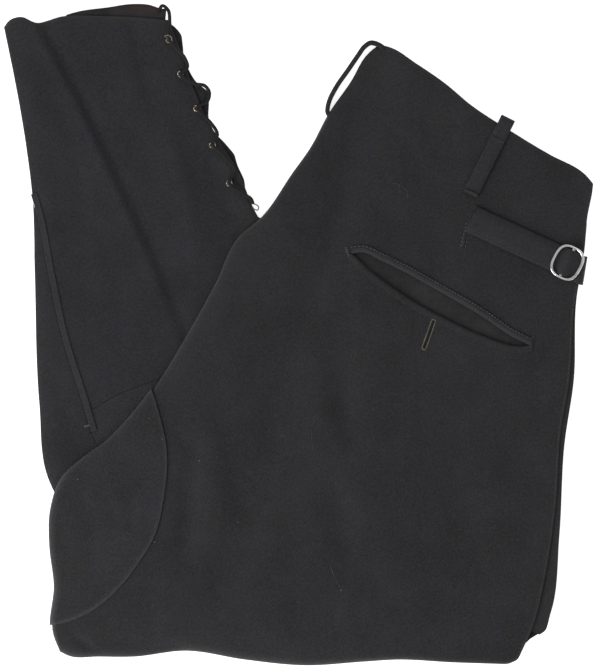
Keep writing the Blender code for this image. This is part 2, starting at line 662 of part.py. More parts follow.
def strap_and_buckle(ground, cloth, steel):
    """The cinch strap under the slide's two side bars and over its middle bar, then down the edge."""
    line = Curve(STRAP_LINE)
    centre, ahead = line.at(np.array([BUCKLE_SHARE, BUCKLE_SHARE + 0.03]))
    along = (ahead - centre) / np.linalg.norm(ahead - centre)
    width = sideways(along, STRAP_WIDTH)
    half = BUCKLE_WIDTH / 2
    base = max(ground.highest(centre + along * step, width) for step in (-half, -half / 2, 0, half / 2, half))
    path, across = [], []
    for place in line.at(np.concatenate([np.linspace(0, 0.72, 7), np.linspace(0.76, 1, 11)])):
        distance = (place - centre) @ along
        near = math.exp(-(distance / BUCKLE_REACH) ** 4)
        over_bar = STRAP_HUMP * math.exp(-(distance / STRAP_HUMP_LENGTH) ** 2)
        level = ground.highest(place, width * 0.98) * (1 - near) + base * near
        path.append((*place, level + SEAM + 0.1 + STRAP_CLOTH / 2 + over_bar))
        across.append(width * (1 - STRAP_PINCH * near))
    level = path[-1][2]
    edge_ahead = np.array(STRAP_TURN_STEP)
    out = np.array([edge_ahead[1], -edge_ahead[0]])
    turned = edge_ahead * STRAP_WIDTH / 2 / abs(edge_ahead @ width * 2 / STRAP_WIDTH)
    for past, drop in STRAP_DROP:
        path.append((*(STRAP_TURN + out * past), level - drop))
        across.append(turned)
    strap = ribbon("cinch_strap", path, [(*half, 0) for half in across], STRAP_CLOTH, cloth)
    return strap, slide(centre, along, base + SEAM + STRAP_CLOTH + 1.7, steel)


def slide(centre, along, level, finish):
    """The metal slide: a rounded frame with flat side bars, and a middle bar."""
    steps, corners = 36, 8
    side = np.array([-along[1], along[0]])
    hole_width, hole_length = BUCKLE_WIDTH - 2 * BUCKLE_SIDE_BAR, BUCKLE_LENGTH - 2 * BUCKLE_END_BAR
    points = []
    for corner in range(corners):
        turn = 2 * math.pi * corner / corners
        for step in range(steps):
            angle = 2 * math.pi * step / steps
            cosine, sine = math.cos(angle), math.sin(angle)
            outer = np.array([rounded(cosine) * BUCKLE_WIDTH, rounded(sine) * BUCKLE_LENGTH]) / 2
            inner = np.array([rounded(cosine) * hole_width, rounded(sine) * hole_length]) / 2
            place = (outer + inner) / 2 + (outer - inner) / 2 * math.cos(turn)
            height = level + BUCKLE_DEPTH / 2 * math.sin(turn)
            points.append((*(centre + along * place[0] + side * place[1]), height))
    frame = turned_out(mesh_object("buckle", points, ring_faces(corners, steps), finish))
    half = side * (BUCKLE_LENGTH - BUCKLE_END_BAR) / 2
    bar_path = [(*(centre + half * share), level - 0.9) for share in (-1, -0.5, 0, 0.5, 1)]
    bar = ribbon("bar", bar_path, [(*(along * 1.1), 0)] * 5, 1.0, finish)
    return combine(frame, bar, "UNION")


def rounded(value, power=0.55):
    """Squares off a circle's sine or cosine into a frame with rounded corners."""
    return math.copysign(abs(value) ** power, value)


def eyelet(name, place, ground, finish):
    """A small worked ring at the calf's laced edge."""
    steps, corners = 12, 5
    level = ground.highest(np.array(place), np.array([EYELET_RADIUS + EYELET_WIRE, 0])) + SEAM + EYELET_WIRE
    points = []
    for corner in range(corners):
        turn = 2 * math.pi * corner / corners
        for step in range(steps):
            angle = 2 * math.pi * step / steps
            radius = EYELET_RADIUS + EYELET_WIRE * math.cos(turn)
            x, y = place[0] + radius * math.cos(angle), place[1] + radius * math.sin(angle)
            points.append((x, y, level + EYELET_WIRE * math.sin(turn)))
    return turned_out(mesh_object(name, points, ring_faces(corners, steps), finish))


def lace(finish):
    curve = bpy.data.curves.new("lace", "CURVE")
    curve.dimensions = "3D"
    curve.bevel_depth = LACE_RADIUS * MILLIMETRE
    curve.bevel_resolution = 2
    curve.use_fill_caps = True
    spline = curve.splines.new("POLY")
    spline.points.add(LACE_POINTS - 1)
    for point, place in zip(spline.points, Curve(LACE_ROUTE).at(np.linspace(0, 1, LACE_POINTS))):
        point.co = (*(place * MILLIMETRE), 1)
    curve.materials.append(finish)
    built = bpy.data.objects.new("lace", curve)
    bpy.context.scene.collection.objects.link(built)
    return built


def pocket(skin, panel, core, cloth, lining):
    """The slanted back pocket: its mouth cut in the panel, two welts on it and the bag behind it."""
    upper, lower = Curve(POCKET_UPPER_LIP), Curve(POCKET_LOWER_LIP)
    combine(panel, prism(pocket_outline(0)), "DIFFERENCE")
    welt = (skin, SEAM, SEAM + WELT_CLOTH)
    cloth_piece("pocket_welt_upper", *welt, band_between(upper, LIP_GAP, WELT_WIDTH), cloth)
    cloth_piece("pocket_welt_lower", *welt, band_between(lower, -WELT_WIDTH, -LIP_GAP), cloth)
    inner, outer = -CLOTH - SEAM - BAG_CLOTH, -CLOTH - SEAM
    cloth_piece("pocket_bag", skin, inner, outer, pocket_outline(WELT_WIDTH), lining)
    room = cloth_piece("room", skin, inner - SEAM, -CLOTH, pocket_outline(WELT_WIDTH + 2 * SEAM), None)
    combine(core, room, "DIFFERENCE")


def pocket_outline(margin):
    """The pocket mouth's outline, widened by a margin on both lips."""
    return np.vstack([Curve(POCKET_UPPER_LIP).moved(margin), Curve(POCKET_LOWER_LIP).moved(-margin)[::-1]])


def under_edges(skin, across, down, calf, calf_across, front_cloth, hem_cloth):
    """The front panel past the outseam, and the far layer's facing past the hem."""
    rolled = len(ROLL_ANGLES) - 1
    shares = down[:-rolled, -1]
    seam = THIGH.right.at(shares)
    shown = between(seam[:, 1], FRONT_SHOWN)
    tops = skin.moved(-CLOTH - SEAM)[:across.size].reshape(*across.shape, 3)[:-rolled, -1, 2]
    widths = np.maximum(strip_width(seam, FRONT_EDGE), 0.4)
    steps_in = -inward(THIGH.right, shares)
    edge_band("front_panel", seam[shown], steps_in[shown], widths[shown], tops[shown], CLOTH, front_cloth)

    shares = calf_across[0]
    hem = CALF.top.at(shares)
    shown = between(hem[:, 0], HEM_SHOWN)
    tops = calf.moved(-CALF_CLOTH - SEAM)[:len(hem), 2]
    widths = strip_width(hem, FAR_HEM_EDGE)
    steps_in = -inward(CALF.top, shares)
    edge_band("hem_facing", hem[shown], steps_in[shown], widths[shown], tops[shown], CALF_CLOTH, hem_cloth)


def calf_pieces(calf, cloth, patch_cloth):
    """The calf's panels either side of the lapped seam, and the knee patch's lower end across them."""
    seam, knee = Curve(CALF_SEAM_LINE + CALF_SEAM_HIDDEN), Curve(KNEE_SEAM_LINE)
    gap = SEAM / 2
    wall = (calf, -CALF_CLOTH, 0)
    outer_corners = [(-150, -200), (-300, -200), (-300, 112)]
    inner_corners = [(-150, -200), (60, -200), (60, 300), (-300, 300), (-300, 112)]
    below_knee = [(0, 20), (0, -200), (-178, -200)]
    cloth_piece("calf_front_panel", *wall, np.vstack([seam.moved(-gap), outer_corners]), cloth)
    back = cloth_piece("calf_back_panel", *wall, np.vstack([seam.moved(gap), inner_corners]), cloth)
    combine(back, prism(np.vstack([knee.moved(gap), below_knee])), "DIFFERENCE")
    patch = cloth_piece("knee_patch_under", *wall, np.vstack([knee.moved(-gap), below_knee]), patch_cloth)
    combine(patch, prism(np.vstack([seam.moved(gap), outer_corners])), "DIFFERENCE")
    lap = band_between(Curve(CALF_SEAM_LINE), 0.2, LAP_WIDTH)
    cloth_piece("calf_seam", calf, SEAM, SEAM + LAP_CLOTH, lap, cloth)


def main():
    for old in list(bpy.data.objects):
        bpy.data.objects.remove(old)
    wool = material("wool", (0.03, 0.029, 0.032), 0.9)
    calf_wool = material("calf_wool", (0.031, 0.03, 0.034), 0.9)
    patch_wool = material("patch_wool", (0.036, 0.035, 0.038), 0.92)
    lining = material("pocket_cotton", (0.02, 0.019, 0.018), 0.9)
    facing = material("facing_cotton", (0.05, 0.035, 0.025), 0.85)
    lace_cotton = material("lace_cotton", (0.03, 0.026, 0.024), 0.8)
    eyelet_brass = material("eyelet_metal", (0.5, 0.42, 0.3), 0.45, 0.8)
    steel = material("buckle_steel", (0.75, 0.75, 0.76), 0.18, 1.0)

    skin, across, down = thigh_skin()
    calf, calf_across, calf_down = calf_skin()
    core = combine(thigh_core(skin, across, down, wool), calf_core(calf, calf_across, calf_down, wool), "UNION")
    panel = mesh_object("back_panel", *skin.wall(-CLOTH, 0), wool)
    pocket(skin, panel, core, wool, lining)
    under_edges(skin, across, down, calf, calf_across, wool, facing)
    calf_pieces(calf, calf_wool, patch_wool)
    outside = [(-260, -233), (-260, -30)]
    cloth_piece("knee_patch", skin, SEAM, SEAM + PATCH_CLOTH, np.vstack([Curve(PATCH_EDGE).moved(0), outside]),
                patch_wool, PATCH_LOW)

    ground, calf_ground = Ground(skin), Ground(calf)
    side_loop(ground, wool)
    back_loop(wool)
    strap_and_buckle(ground, wool, steel)
    for number, place in enumerate(EYELET_PLACES, 1):
        eyelet(f"eyelet_{number}", place, calf_ground, eyelet_brass)
    lace(lace_cotton)


main()
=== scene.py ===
"""Laced wool breeches lying folded in half: the cloth on show, its sewing, the lace and the metal.

Lengths are in millimetres until a mesh is made. x runs to the right, y towards the waist, z up from the
surface that the garment lies on. Cloth is laid as thin walls on two draped skins, the thigh's and the calf's.
"""

import math

import bpy
import numpy as np
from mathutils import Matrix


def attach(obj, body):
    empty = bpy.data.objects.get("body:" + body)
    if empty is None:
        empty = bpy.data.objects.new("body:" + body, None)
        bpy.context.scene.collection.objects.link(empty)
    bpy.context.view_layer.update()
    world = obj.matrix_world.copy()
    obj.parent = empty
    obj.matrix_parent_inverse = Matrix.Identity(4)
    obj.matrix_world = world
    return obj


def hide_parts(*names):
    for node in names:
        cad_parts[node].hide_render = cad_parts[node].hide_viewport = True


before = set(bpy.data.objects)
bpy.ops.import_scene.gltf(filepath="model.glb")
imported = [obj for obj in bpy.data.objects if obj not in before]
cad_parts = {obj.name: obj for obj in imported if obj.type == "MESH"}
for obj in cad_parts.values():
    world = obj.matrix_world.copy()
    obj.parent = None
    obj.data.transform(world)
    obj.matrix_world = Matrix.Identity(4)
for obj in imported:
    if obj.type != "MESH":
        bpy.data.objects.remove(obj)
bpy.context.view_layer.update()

MILLIMETRE = 0.001
CLOTH = 2.2
CALF_CLOTH = 2.0
LAYER_CLOTH = 2.05
SEAM = 0.3
STACK = 9.6               # four layers of cloth on each other
FLOOR_GAP = 1.2
PATCH_CLOTH, BAG_CLOTH, STRAP_CLOTH = 1.6, 1.0, 2.0
LOOP_CLOTH, BACK_LOOP_CLOTH = 1.9, 3.7
BACK_LOOP_HEIGHT, BACK_LOOP_REACH = 5.6, 5.4
LOOP_WIDTH, STRAP_WIDTH = 12.0, 22.0
SLIDE_BREADTH, SLIDE_LENGTH = 24.5, 28.0
SLIDE_BARS = (4.8, 3.8)   # both side bars together, both end bars together
EYELET_RADIUS, EYELET_RIM, EYELET_WIRE = 2.1, 0.75, 0.6
LACE_RADIUS = 1.4
SIDE_ROLL = 4.8
KNEE_ROLL = 9.0
ROLL_ANGLES = np.linspace(0, 90, 9)
CALF_MARGIN = 12.0
CALF_SLOPE = 104.0
CREASE_STEP, CREASE_WIDTH = 2.2, 6.0
THIGH_COLUMNS, THIGH_ROWS = 110, 124
CALF_COLUMNS, CALF_ROWS = 64, 116
PICTURE_WIDTH, PICTURE_HEIGHT = 600, 671

# Outlines, in order along each edge: x, y
WAIST_EDGE = [
    (64, 232), (75, 229), (94, 217), (116, 202), (139, 183), (171, 162), (201, 144), (230, 127.5),
    (236, 120.5)]
FOLD_EDGE = [
    (64, 232), (55, 224), (42.5, 203), (24.5, 177), (9.5, 149), (-4, 130), (-31, 92), (-46.5, 79),
    (-66.5, 39.5), (-86.5, 3.5), (-117.5, -46.5), (-139.6, -73.4), (-153.8, -87.4), (-169.3, -98.4),
    (-188.6, -116.8), (-196.6, -141), (-197.1, -169), (-193.6, -200), (-196, -240), (-190.5, -254)]
KNEE_EDGE = [
    (-190.5, -254), (-183, -257.5), (-160, -258), (-131, -258), (-90, -253.3), (-42, -260.5), (5.5, -265),
    (53.5, -262), (77.5, -260.5), (125, -262.8), (169, -264.3)]
OUTSEAM_EDGE = [
    (236, 120.5), (235, 113), (231.5, 96), (229, 68), (221.5, 27.5), (216, -42), (210.5, -73),
    (205.5, -140), (197, -196), (187.5, -234), (179.5, -252), (175, -260.5), (169, -264.3)]
FRONT_EDGE = [
    (232, 96), (229.4, 68), (223, 27.5), (221, -36), (213.5, -88), (209.5, -160), (202.5, -223),
    (195, -242), (183, -247)]
CALF_SIDE = [
    (-235, 246), (-227, 207), (-217, 149), (-212, 107), (-210.4, 51), (-206.7, -56), (-199.5, -116),
    (-193, -130)]
CALF_TUCKED_EDGE = [
    (-193, -130), (-176, -116), (-150, -95), (-120, -68), (-98, -33), (-72, 8), (-50, 47), (-34, 68),
    (-22, 80)]
HEM_EDGE = [
    (-235, 246), (-231, 251), (-221.5, 253.8), (-211, 249.5), (-188, 254.5), (-158, 254.8), (-118, 252.8),
    (-104, 251.5)]
FAR_HEM_EDGE = [(-192, 254), (-177.5, 258.5), (-154, 262), (-133, 264.8), (-117.5, 263.8), (-109, 261)]
LACED_EDGE = [
    (-104, 251.5), (-96, 231.5), (-89.6, 211.5), (-81.6, 191.5), (-71, 167.5), (-49, 131.5), (-31, 92),
    (-22, 80)]
CALF_FAR_EDGE = LACED_EDGE[:-1] + [(-14, 3.5), (9.5, -68), (28, -120), (38, -180), (42, -230), (44, -290)]
CALF_CREASE = [(-208, 247.5), (-178, 191.5), (-138, 107.5), (-118, 63.5), (-94, -0.5), (-88, -16)]
CALF_SEAM_LINE = [(-214, 112), (-210, 98.5), (-200, 47.5), (-189, -3), (-173, -54), (-166, -78)]
CALF_SEAM_HIDDEN = [(-155, -101), (-150, -115)]
KNEE_SEAM_LINE = [(-176, -66), (-162.7, -58.8), (-145.6, -49), (-124, -40.4), (-100, -31)]
PATCH_EDGE = [
    (-125, -30), (-117.5, -43.5), (-111, -63.5), (-105, -92), (-107, -129), (-116, -164), (-127, -182),
    (-141.6, -201), (-169.6, -223.5), (-192, -231.5), (-206, -233)]
POCKET_UPPER_LIP = [
    (43, 65.5), (51, 66.5), (67, 59.8), (86, 50.6), (106, 39.5), (149.5, 14), (171, -0.6), (186, -8)]
POCKET_LOWER_LIP = [
    (43, 64.5), (55, 53), (73, 38.8), (91, 26.8), (119, 11.6), (149, -2), (178.5, -9.8), (187, -8.5)]
SIDE_LOOP_LINE = [(137.6, 111.5), (166.5, 169.5)]
BACK_LOOP_LINE = [
    (27.4, 172.6), (25.4, 175.2), (23.7, 178.1), (23.8, 182), (25.1, 187.2), (30.3, 197.6), (41.2, 213.4),
    (48.3, 223.8), (53.5, 230.8), (58, 233.6), (62, 233.1), (65.4, 231.6), (68.6, 229.4)]
STRAP_LINE = [(138.5, 92.5), (206, 61.6), (216, 57.2), (223.5, 53)]
STRAP_TURN = (226.3, 51.5)
STRAP_TURN_STEP = (0.16, 0.987)
SLIDE_SHARE = 0.9
DART_LINE = [(143, 103), (136.5, 89), (132, 69)]
BUTTONHOLE = [(108.5, 10.5), (101, -10.5)]
EYELET_PLACES = [(-103, 236), (-94, 208.5), (-81, 181), (-68.5, 151.5), (-55, 121)]
# The lace, round the hem's corner and over the edge between eyelets to its free end: x, y, z
LACE_ROUTE = [
    (-112, 258, 8.8), (-108.5, 263.3, 9.6), (-104.2, 260, 11.2), (-102.6, 250, 11.9), (-103, 236, 12.5),
    (-97.5, 229, 12), (-90.5, 221, 11.6), (-88.5, 214, 11.6), (-94, 208.5, 12.5), (-89, 203.5, 12.1),
    (-82, 200.5, 11.7), (-74.5, 199, 11.5), (-71, 194, 11.5), (-72, 187.5, 11.8), (-80.5, 181.3, 12.5),
    (-76, 175.5, 12.1), (-69.5, 169, 11.6), (-64.5, 160, 11.7), (-68.5, 151.5, 12.5), (-63, 146.5, 12.1),
    (-56, 140, 11.6), (-50.5, 131, 11.7), (-55, 121.2, 12.5), (-49, 116, 12.1), (-42, 111.5, 11.7),
    (-37.5, 108.5, 11.6), (-36, 104.5, 11.6)]
LACE_END_LOOP = [
    (-36.4, 104.6, 11.8), (-33.8, 104.0, 12.2), (-31.6, 102.2, 12.0), (-32.2, 99.6, 11.6),
    (-34.8, 100.2, 11.6), (-36.6, 102.4, 11.7)]
FRAYED_LOOP = [
    (-106.6, 238.6, 12.6), (-104.4, 239.4, 13.4), (-101.6, 238.0, 13.3), (-101.2, 235.0, 12.9),
    (-103.8, 233.6, 12.8), (-105.9, 235.4, 12.9)]
# The far side of the calf's opening, which the lace puckers past the near edge
FAR_LACED_EDGE = [
    (-104, 250.5), (-98, 246), (-93.6, 240.4), (-91.8, 230.8), (-91, 221.2), (-87.2, 211.6), (-82.4, 203.6),
    (-75.2, 198.4), (-71.2, 191), (-70.8, 181.2), (-71.2, 173.2), (-67.2, 162.8), (-57.6, 152.4),
    (-50.4, 143.6), (-48, 134.8), (-43.2, 122.8), (-41.6, 112.4), (-37.4, 103.6), (-32, 94)]
# How the side loop and the strap turn down at their ends: step out, step down
LOOP_TURN = [(1.6, 0.3), (2.8, 1.0), (3.5, 2.4), (3.5, 6.4)]
STRAP_DROP = [(0.6, 0.1), (2.2, 1.2), (3.0, 3.4), (3.0, 8.2)]

# Main folds: height above the cloth round them, half width, line
THIGH_FOLDS = [
    (-2.2, 19, [(56, 200), (46, 150), (37, 108), (16, 40), (-2, -20), (-22, -84), (-38, -136)]),
    (-1.8, 14, [(14, 24), (26, -16), (37, -52), (42, -92), (31, -128), (44, -184)]),
    (-1.6, 10, [(-82, -92), (-87, -132), (-91, -180)]),
    (1.5, 12, [(-74, -76), (-68, -148)]),
    (1.2, 14, [(-22, -96), (-22, -188)]),
    (1.8, 14, [(46, 206), (12, 150), (-34, 80), (-92, -24)]),
    (-1.2, 12, [(66, 212), (46, 186)]),
    (-1.0, 12, [(82, 156), (96, 128)]),
    (-1.7, 20, [(-180, -262), (-90, -262), (5, -270), (80, -268)]),
]
CALF_FOLDS = [
    (-1.2, 10, [(-154, 262), (-154, 250)]),
    (1.2, 12, [(-102, 148), (-86, 104), (-78, 72)]),
    (-1.0, 8, [(-52, 96), (-46, 84)]),
]

# Lesser creases, uneven and fading out at both ends: height, width on the left, on the right, line
THIGH_CREASES = [
    (-2.4, 11, 26, [(50, 196), (47, 180), (36, 132), (27, 84), (14, 36), (-5, -8), (-21, -52), (-32, -92),
                    (-41, -132)]),
    (-2.0, 9, 20, [(33, 84), (35, 58), (39, 4), (36, -52), (39, -104)]),
    (-1.9, 9, 14, [(19, -107), (30, -136), (38, -164), (44, -188)]),
    (-1.4, 6, 8, [(-82, -80), (-86, -132), (-90, -180)]),
    (1.0, 8, 8, [(-69, -72), (-62, -116), (-58, -152)]),
    (1.3, 10, 8, [(10, -52), (30, -84), (38, -102)]),
    (0.8, 9, 9, [(-52, 28), (-59, -8), (-64, -32)]),
    (-0.6, 4, 6, [(-132, -124), (-133, -160)]),
    (-1.1, 9, 9, [(132, 84), (168, 68), (206, 50)]),
    (-2.2, 16, 16, [(-196, -252), (-90, -254), (5, -264), (80, -260), (168, -262)]),
    (-0.7, 6, 10, [(-40, 40), (-52, 4), (-70, -34)]),
    (0.6, 8, 8, [(-28, 30), (-44, -14), (-58, -60)]),
    (-0.8, 5, 9, [(-10, -70), (-20, -104), (-24, -150)]),
    (0.8, 8, 5, [(8, -66), (16, -92), (28, -100)]),
    (-0.6, 8, 6, [(66, -150), (60, -190), (72, -226)]),
    (0.5, 10, 7, [(90, -60), (84, -110), (96, -160)]),
    (-0.5, 9, 9, [(130, -70), (124, -130), (136, -190)]),
    (0.5, 9, 9, [(158, -90), (150, -150), (160, -214)]),
    (-0.5, 8, 8, [(-130, -196), (-118, -222), (-120, -246)]),
    (-0.6, 5, 8, [(-60, -180), (-64, -210), (-60, -240)]),
    (0.6, 6, 9, [(-36, -176), (-30, -212), (-36, -244)]),
    (-0.6, 7, 5, [(4, -190), (-4, -220), (0, -248)]),
    (0.5, 6, 6, [(46, -196), (40, -226), (44, -250)]),
    (-0.6, 6, 9, [(104, 176), (112, 150), (134, 140)]),
    (0.5, 6, 8, [(78, 186), (92, 164), (106, 160)]),
    (-0.5, 6, 6, [(60, 118), (70, 96), (88, 84)]),
    (-0.8, 5, 10, [(46, 44), (66, 22), (88, 8)]),
    (0.5, 8, 6, [(50, 34), (70, 10), (94, -4)]),
    (-0.7, 6, 6, [(186, -14), (192, -40), (190, -66)]),
    (-1.9, 3, 4, [(-182, -237), (-176, -243), (-167, -250), (-163, -254)]),
    (-1.3, 3, 4, [(-126, -254), (-114, -250.5), (-102, -248.5), (-90, -247)]),
    (-0.7, 5, 8, [(-176, -130), (-164, -150), (-168, -186)]),
    (0.6, 9, 6, [(-150, -112), (-138, -146), (-144, -180)]),
]
CALF_CREASES = [
    (-0.9, 9, 6, [(-134, 262), (-130, 240), (-120, 200), (-112, 168)]),
    (0.9, 8, 9, [(-100, 160), (-90, 110), (-84, 74), (-80, 40)]),
    (-0.8, 7, 12, [(-66, 140), (-56, 110), (-50, 90)]),
    (-0.5, 6, 9, [(-154, 226), (-150, 190), (-138, 160)]),
    (0.5, 7, 7, [(-138, 250), (-136, 220), (-126, 180)]),
    (-0.8, 8, 12, [(-92, 176), (-70, 140), (-52, 100)]),
    (0.5, 6, 8, [(-112, 190), (-98, 150), (-88, 110)]),
    (-0.5, 6, 6, [(-190, 180), (-176, 130), (-172, 80)]),
    (0.5, 8, 6, [(-206, 140), (-196, 80), (-190, 20)]),
    (-0.5, 6, 9, [(-150, 60), (-140, 20), (-146, -20)]),
    (0.4, 7, 7, [(-166, 90), (-158, 40), (-160, 0)]),
    (-0.6, 5, 8, [(-196, -20), (-186, -60), (-180, -92)]),
]


# Curves and skins

class Curve:
    """A smooth line through a table's points, read by its share of the length."""

    def __init__(self, table):
        knots = np.array(table, float)
        chords = np.linalg.norm(np.diff(knots, axis=0), axis=1)[:, None]
        slopes = np.diff(knots, axis=0) / chords
        inner = (slopes[:-1] * chords[1:] + slopes[1:] * chords[:-1]) / (chords[1:] + chords[:-1])
        tangents = np.vstack([slopes[:1], inner, slopes[-1:]])
        steps = np.linspace(0, 1, 12, endpoint=False)[:, None]
        pieces = [hermite(knots[i], knots[i + 1], tangents[i] * chords[i], tangents[i + 1] * chords[i], steps)
                  for i in range(len(chords))]
        self.points = np.vstack(pieces + [knots[-1:]])
        run = np.concatenate([[0], np.cumsum(np.linalg.norm(np.diff(self.points, axis=0), axis=1))])
        self.length = run[-1]
        self.shares = run / self.length

    def at(self, share):
        return np.stack([np.interp(share, self.shares, coordinate) for coordinate in self.points.T], -1)

    def spaced(self, count, first=0.0, last=1.0):
        """Points at even steps of the length."""
        return self.at(np.linspace(first, last, count))

    def moved(self, distance, count=40):
        """Points beside the line, to its left by the distance."""
        points = self.spaced(count)
        return points + left_of(points) * np.reshape(distance, (-1, 1))


def hermite(start, end, leaving, arriving, t):
    return ((2 * t**3 - 3 * t**2 + 1) * start + (t**3 - 2 * t**2 + t) * leaving
            + (3 * t**2 - 2 * t**3) * end + (t**3 - t**2) * arriving)


def unit(vectors):
    return vectors / np.linalg.norm(vectors, axis=-1, keepdims=True)


def left_of(points):
    """Unit steps to the left of a run of points."""
    ahead = unit(np.gradient(points, axis=0))
    return np.stack([-ahead[:, 1], ahead[:, 0]], -1)


def smooth_step(value):
    value = np.clip(value, 0, 1)
    return value * value * (3 - 2 * value)


def bell(distance, width):
    return np.exp(-(distance / width) ** 2)


def turns(count):
    """Angles evenly round a circle."""
    return np.linspace(0, 2 * math.pi, count, endpoint=False)


def between_rows(rows, shares):
    """Points at shares of the way through a list of points."""
    steps = np.linspace(0, 1, len(rows))
    return np.stack([np.interp(shares, steps, column) for column in np.array(rows).T], -1)


def nearest(points, line):
    """Distance from each point to a line, positive on the line's left, and the line's share there."""
    flat = points.reshape(-1, 2)
    start, along = line[:-1], np.diff(line, axis=0)
    lengths = np.linalg.norm(along, axis=1)
    offset = flat[:, None] - start
    share = np.clip((offset * along).sum(2) / lengths**2, 0, 1)
    gap = offset - share[..., None] * along
    distance = np.linalg.norm(gap, axis=2)
    place = distance.argmin(1)
    rows = np.arange(len(flat))
    turn = along[place, 0] * gap[rows, place, 1] - along[place, 1] * gap[rows, place, 0]
    run = np.concatenate([[0], np.cumsum(lengths)])
    gone = (run[place] + share[rows, place] * lengths[place]) / run[-1]
    signed = distance[rows, place] * np.sign(turn + 1e-12)
    return signed.reshape(points.shape[:-1]), gone.reshape(points.shape[:-1])


def side_distance(points, table):
    """Distance in plan from points to a table's line, positive on the line's left."""
    return nearest(points[..., :2], Curve(table).points)[0]


def edge_distance(points, *tables):
    """Distance in plan from points to the nearest of some tables' lines."""
    return np.minimum.reduce([np.abs(side_distance(points, table)) for table in tables])


class Outline:
    """Four edges, and the plan inside them: across from 0 to 1, down from 0 to 1."""

    def __init__(self, top, bottom, left, right):
        self.top, self.bottom, self.left, self.right = (Curve(edge) for edge in (top, bottom, left, right))

    def plan(self, across, down):
        a, d = across[..., None], down[..., None]
        corners = ((1 - a) * (1 - d) * self.top.points[0] + a * (1 - d) * self.top.points[-1]
                   + (1 - a) * d * self.bottom.points[0] + a * d * self.bottom.points[-1])
        return ((1 - d) * self.top.at(across) + d * self.bottom.at(across)
                + (1 - a) * self.left.at(down) + a * self.right.at(down) - corners)

    def width(self, down):
        return np.linalg.norm(self.right.at(down) - self.left.at(down), axis=-1)

    def depth(self, across):
        return np.linalg.norm(self.bottom.at(across) - self.top.at(across), axis=-1)


THIGH = Outline(WAIST_EDGE, KNEE_EDGE, FOLD_EDGE, OUTSEAM_EDGE)
CALF = Outline(HEM_EDGE, CALF_TUCKED_EDGE, CALF_SIDE, LACED_EDGE)


def over_calf(points):
    """1 where the thigh lies on the turned-up calf, 0 where it lies on the surface."""
    return smooth_step(1 + (CALF_MARGIN - side_distance(points, CALF_FAR_EDGE)) / CALF_SLOPE)


def folds_and_creases(points, folds, creases):
    total = np.zeros(points.shape[:-1])
    for height, width, line in folds:
        total += height * bell(side_distance(points, line), width)
    for height, left, right, line in creases:
        distance, share = nearest(points, Curve(line).points)
        ends = smooth_step(share * 5) * smooth_step((1 - share) * 5)
        total += height * ends * bell(distance, np.where(distance > 0, left, right))
    return total


def unevenness(points, seed, size, height):
    """Gentle hollows and rises, such as folded cloth keeps."""
    random = np.random.default_rng(seed)
    total = np.zeros(points.shape[:-1])
    for _ in range(10):
        turn, phase, bend = random.uniform(0, 2 * math.pi, 3)
        length = size * random.uniform(0.6, 1.8)
        along = points[..., 0] * math.cos(turn) + points[..., 1] * math.sin(turn)
        beside = points[..., 1] * math.cos(turn) - points[..., 0] * math.sin(turn)
        total += np.sin(2 * math.pi / length * along + phase + 1.4 * np.sin(3.1 / length * beside + bend))
    return total * height / 3


def thigh_height(points):
    return (STACK * (1 + over_calf(points)) + folds_and_creases(points, THIGH_FOLDS, THIGH_CREASES)
            + unevenness(points, 4, 60, 0.3) + unevenness(points, 5, 17, 0.1))


def calf_height(points):
    """The turned-up calf, with its pressed crease: a step beside a groove, flatter near the thigh."""
    beside = side_distance(points, CALF_CREASE)
    outside = smooth_step(0.5 - beside / CREASE_WIDTH)
    fade = smooth_step((-side_distance(points, FOLD_EDGE) - 6) / 45)
    ridge = 0.5 * bell(beside + 5, 4.5)
    groove = (1.5 - 0.9 * fade) * bell(beside - 4, np.where(beside < 4, 3.5, 8.0))
    rounding = bell(side_distance(points, CALF_SIDE), 6)
    return (STACK - 0.3 + (CREASE_STEP * outside + ridge) * fade - groove - rounding
            + folds_and_creases(points, CALF_FOLDS, CALF_CREASES)
            + unevenness(points, 8, 50, 0.25) + unevenness(points, 9, 15, 0.09))


def laid(points, height, lift):
    """Points lying on a cloth's height, lifted off it squarely."""
    step = 0.5
    level = height(points)
    slope_x = (height(points + (step, 0)) - height(points - (step, 0))) / (2 * step)
    slope_y = (height(points + (0, step)) - height(points - (0, step))) / (2 * step)
    normal = unit(np.stack([-slope_x, -slope_y, np.ones_like(level)], -1))
    return np.concatenate([points, level[..., None]], -1) + normal * np.reshape(lift, (-1, 1))


def grid_faces(numbers):
    a, b, c, d = numbers[:-1, :-1], numbers[1:, :-1], numbers[1:, 1:], numbers[:-1, 1:]
    return np.stack([a, b, c, d], -1).reshape(-1, 4)


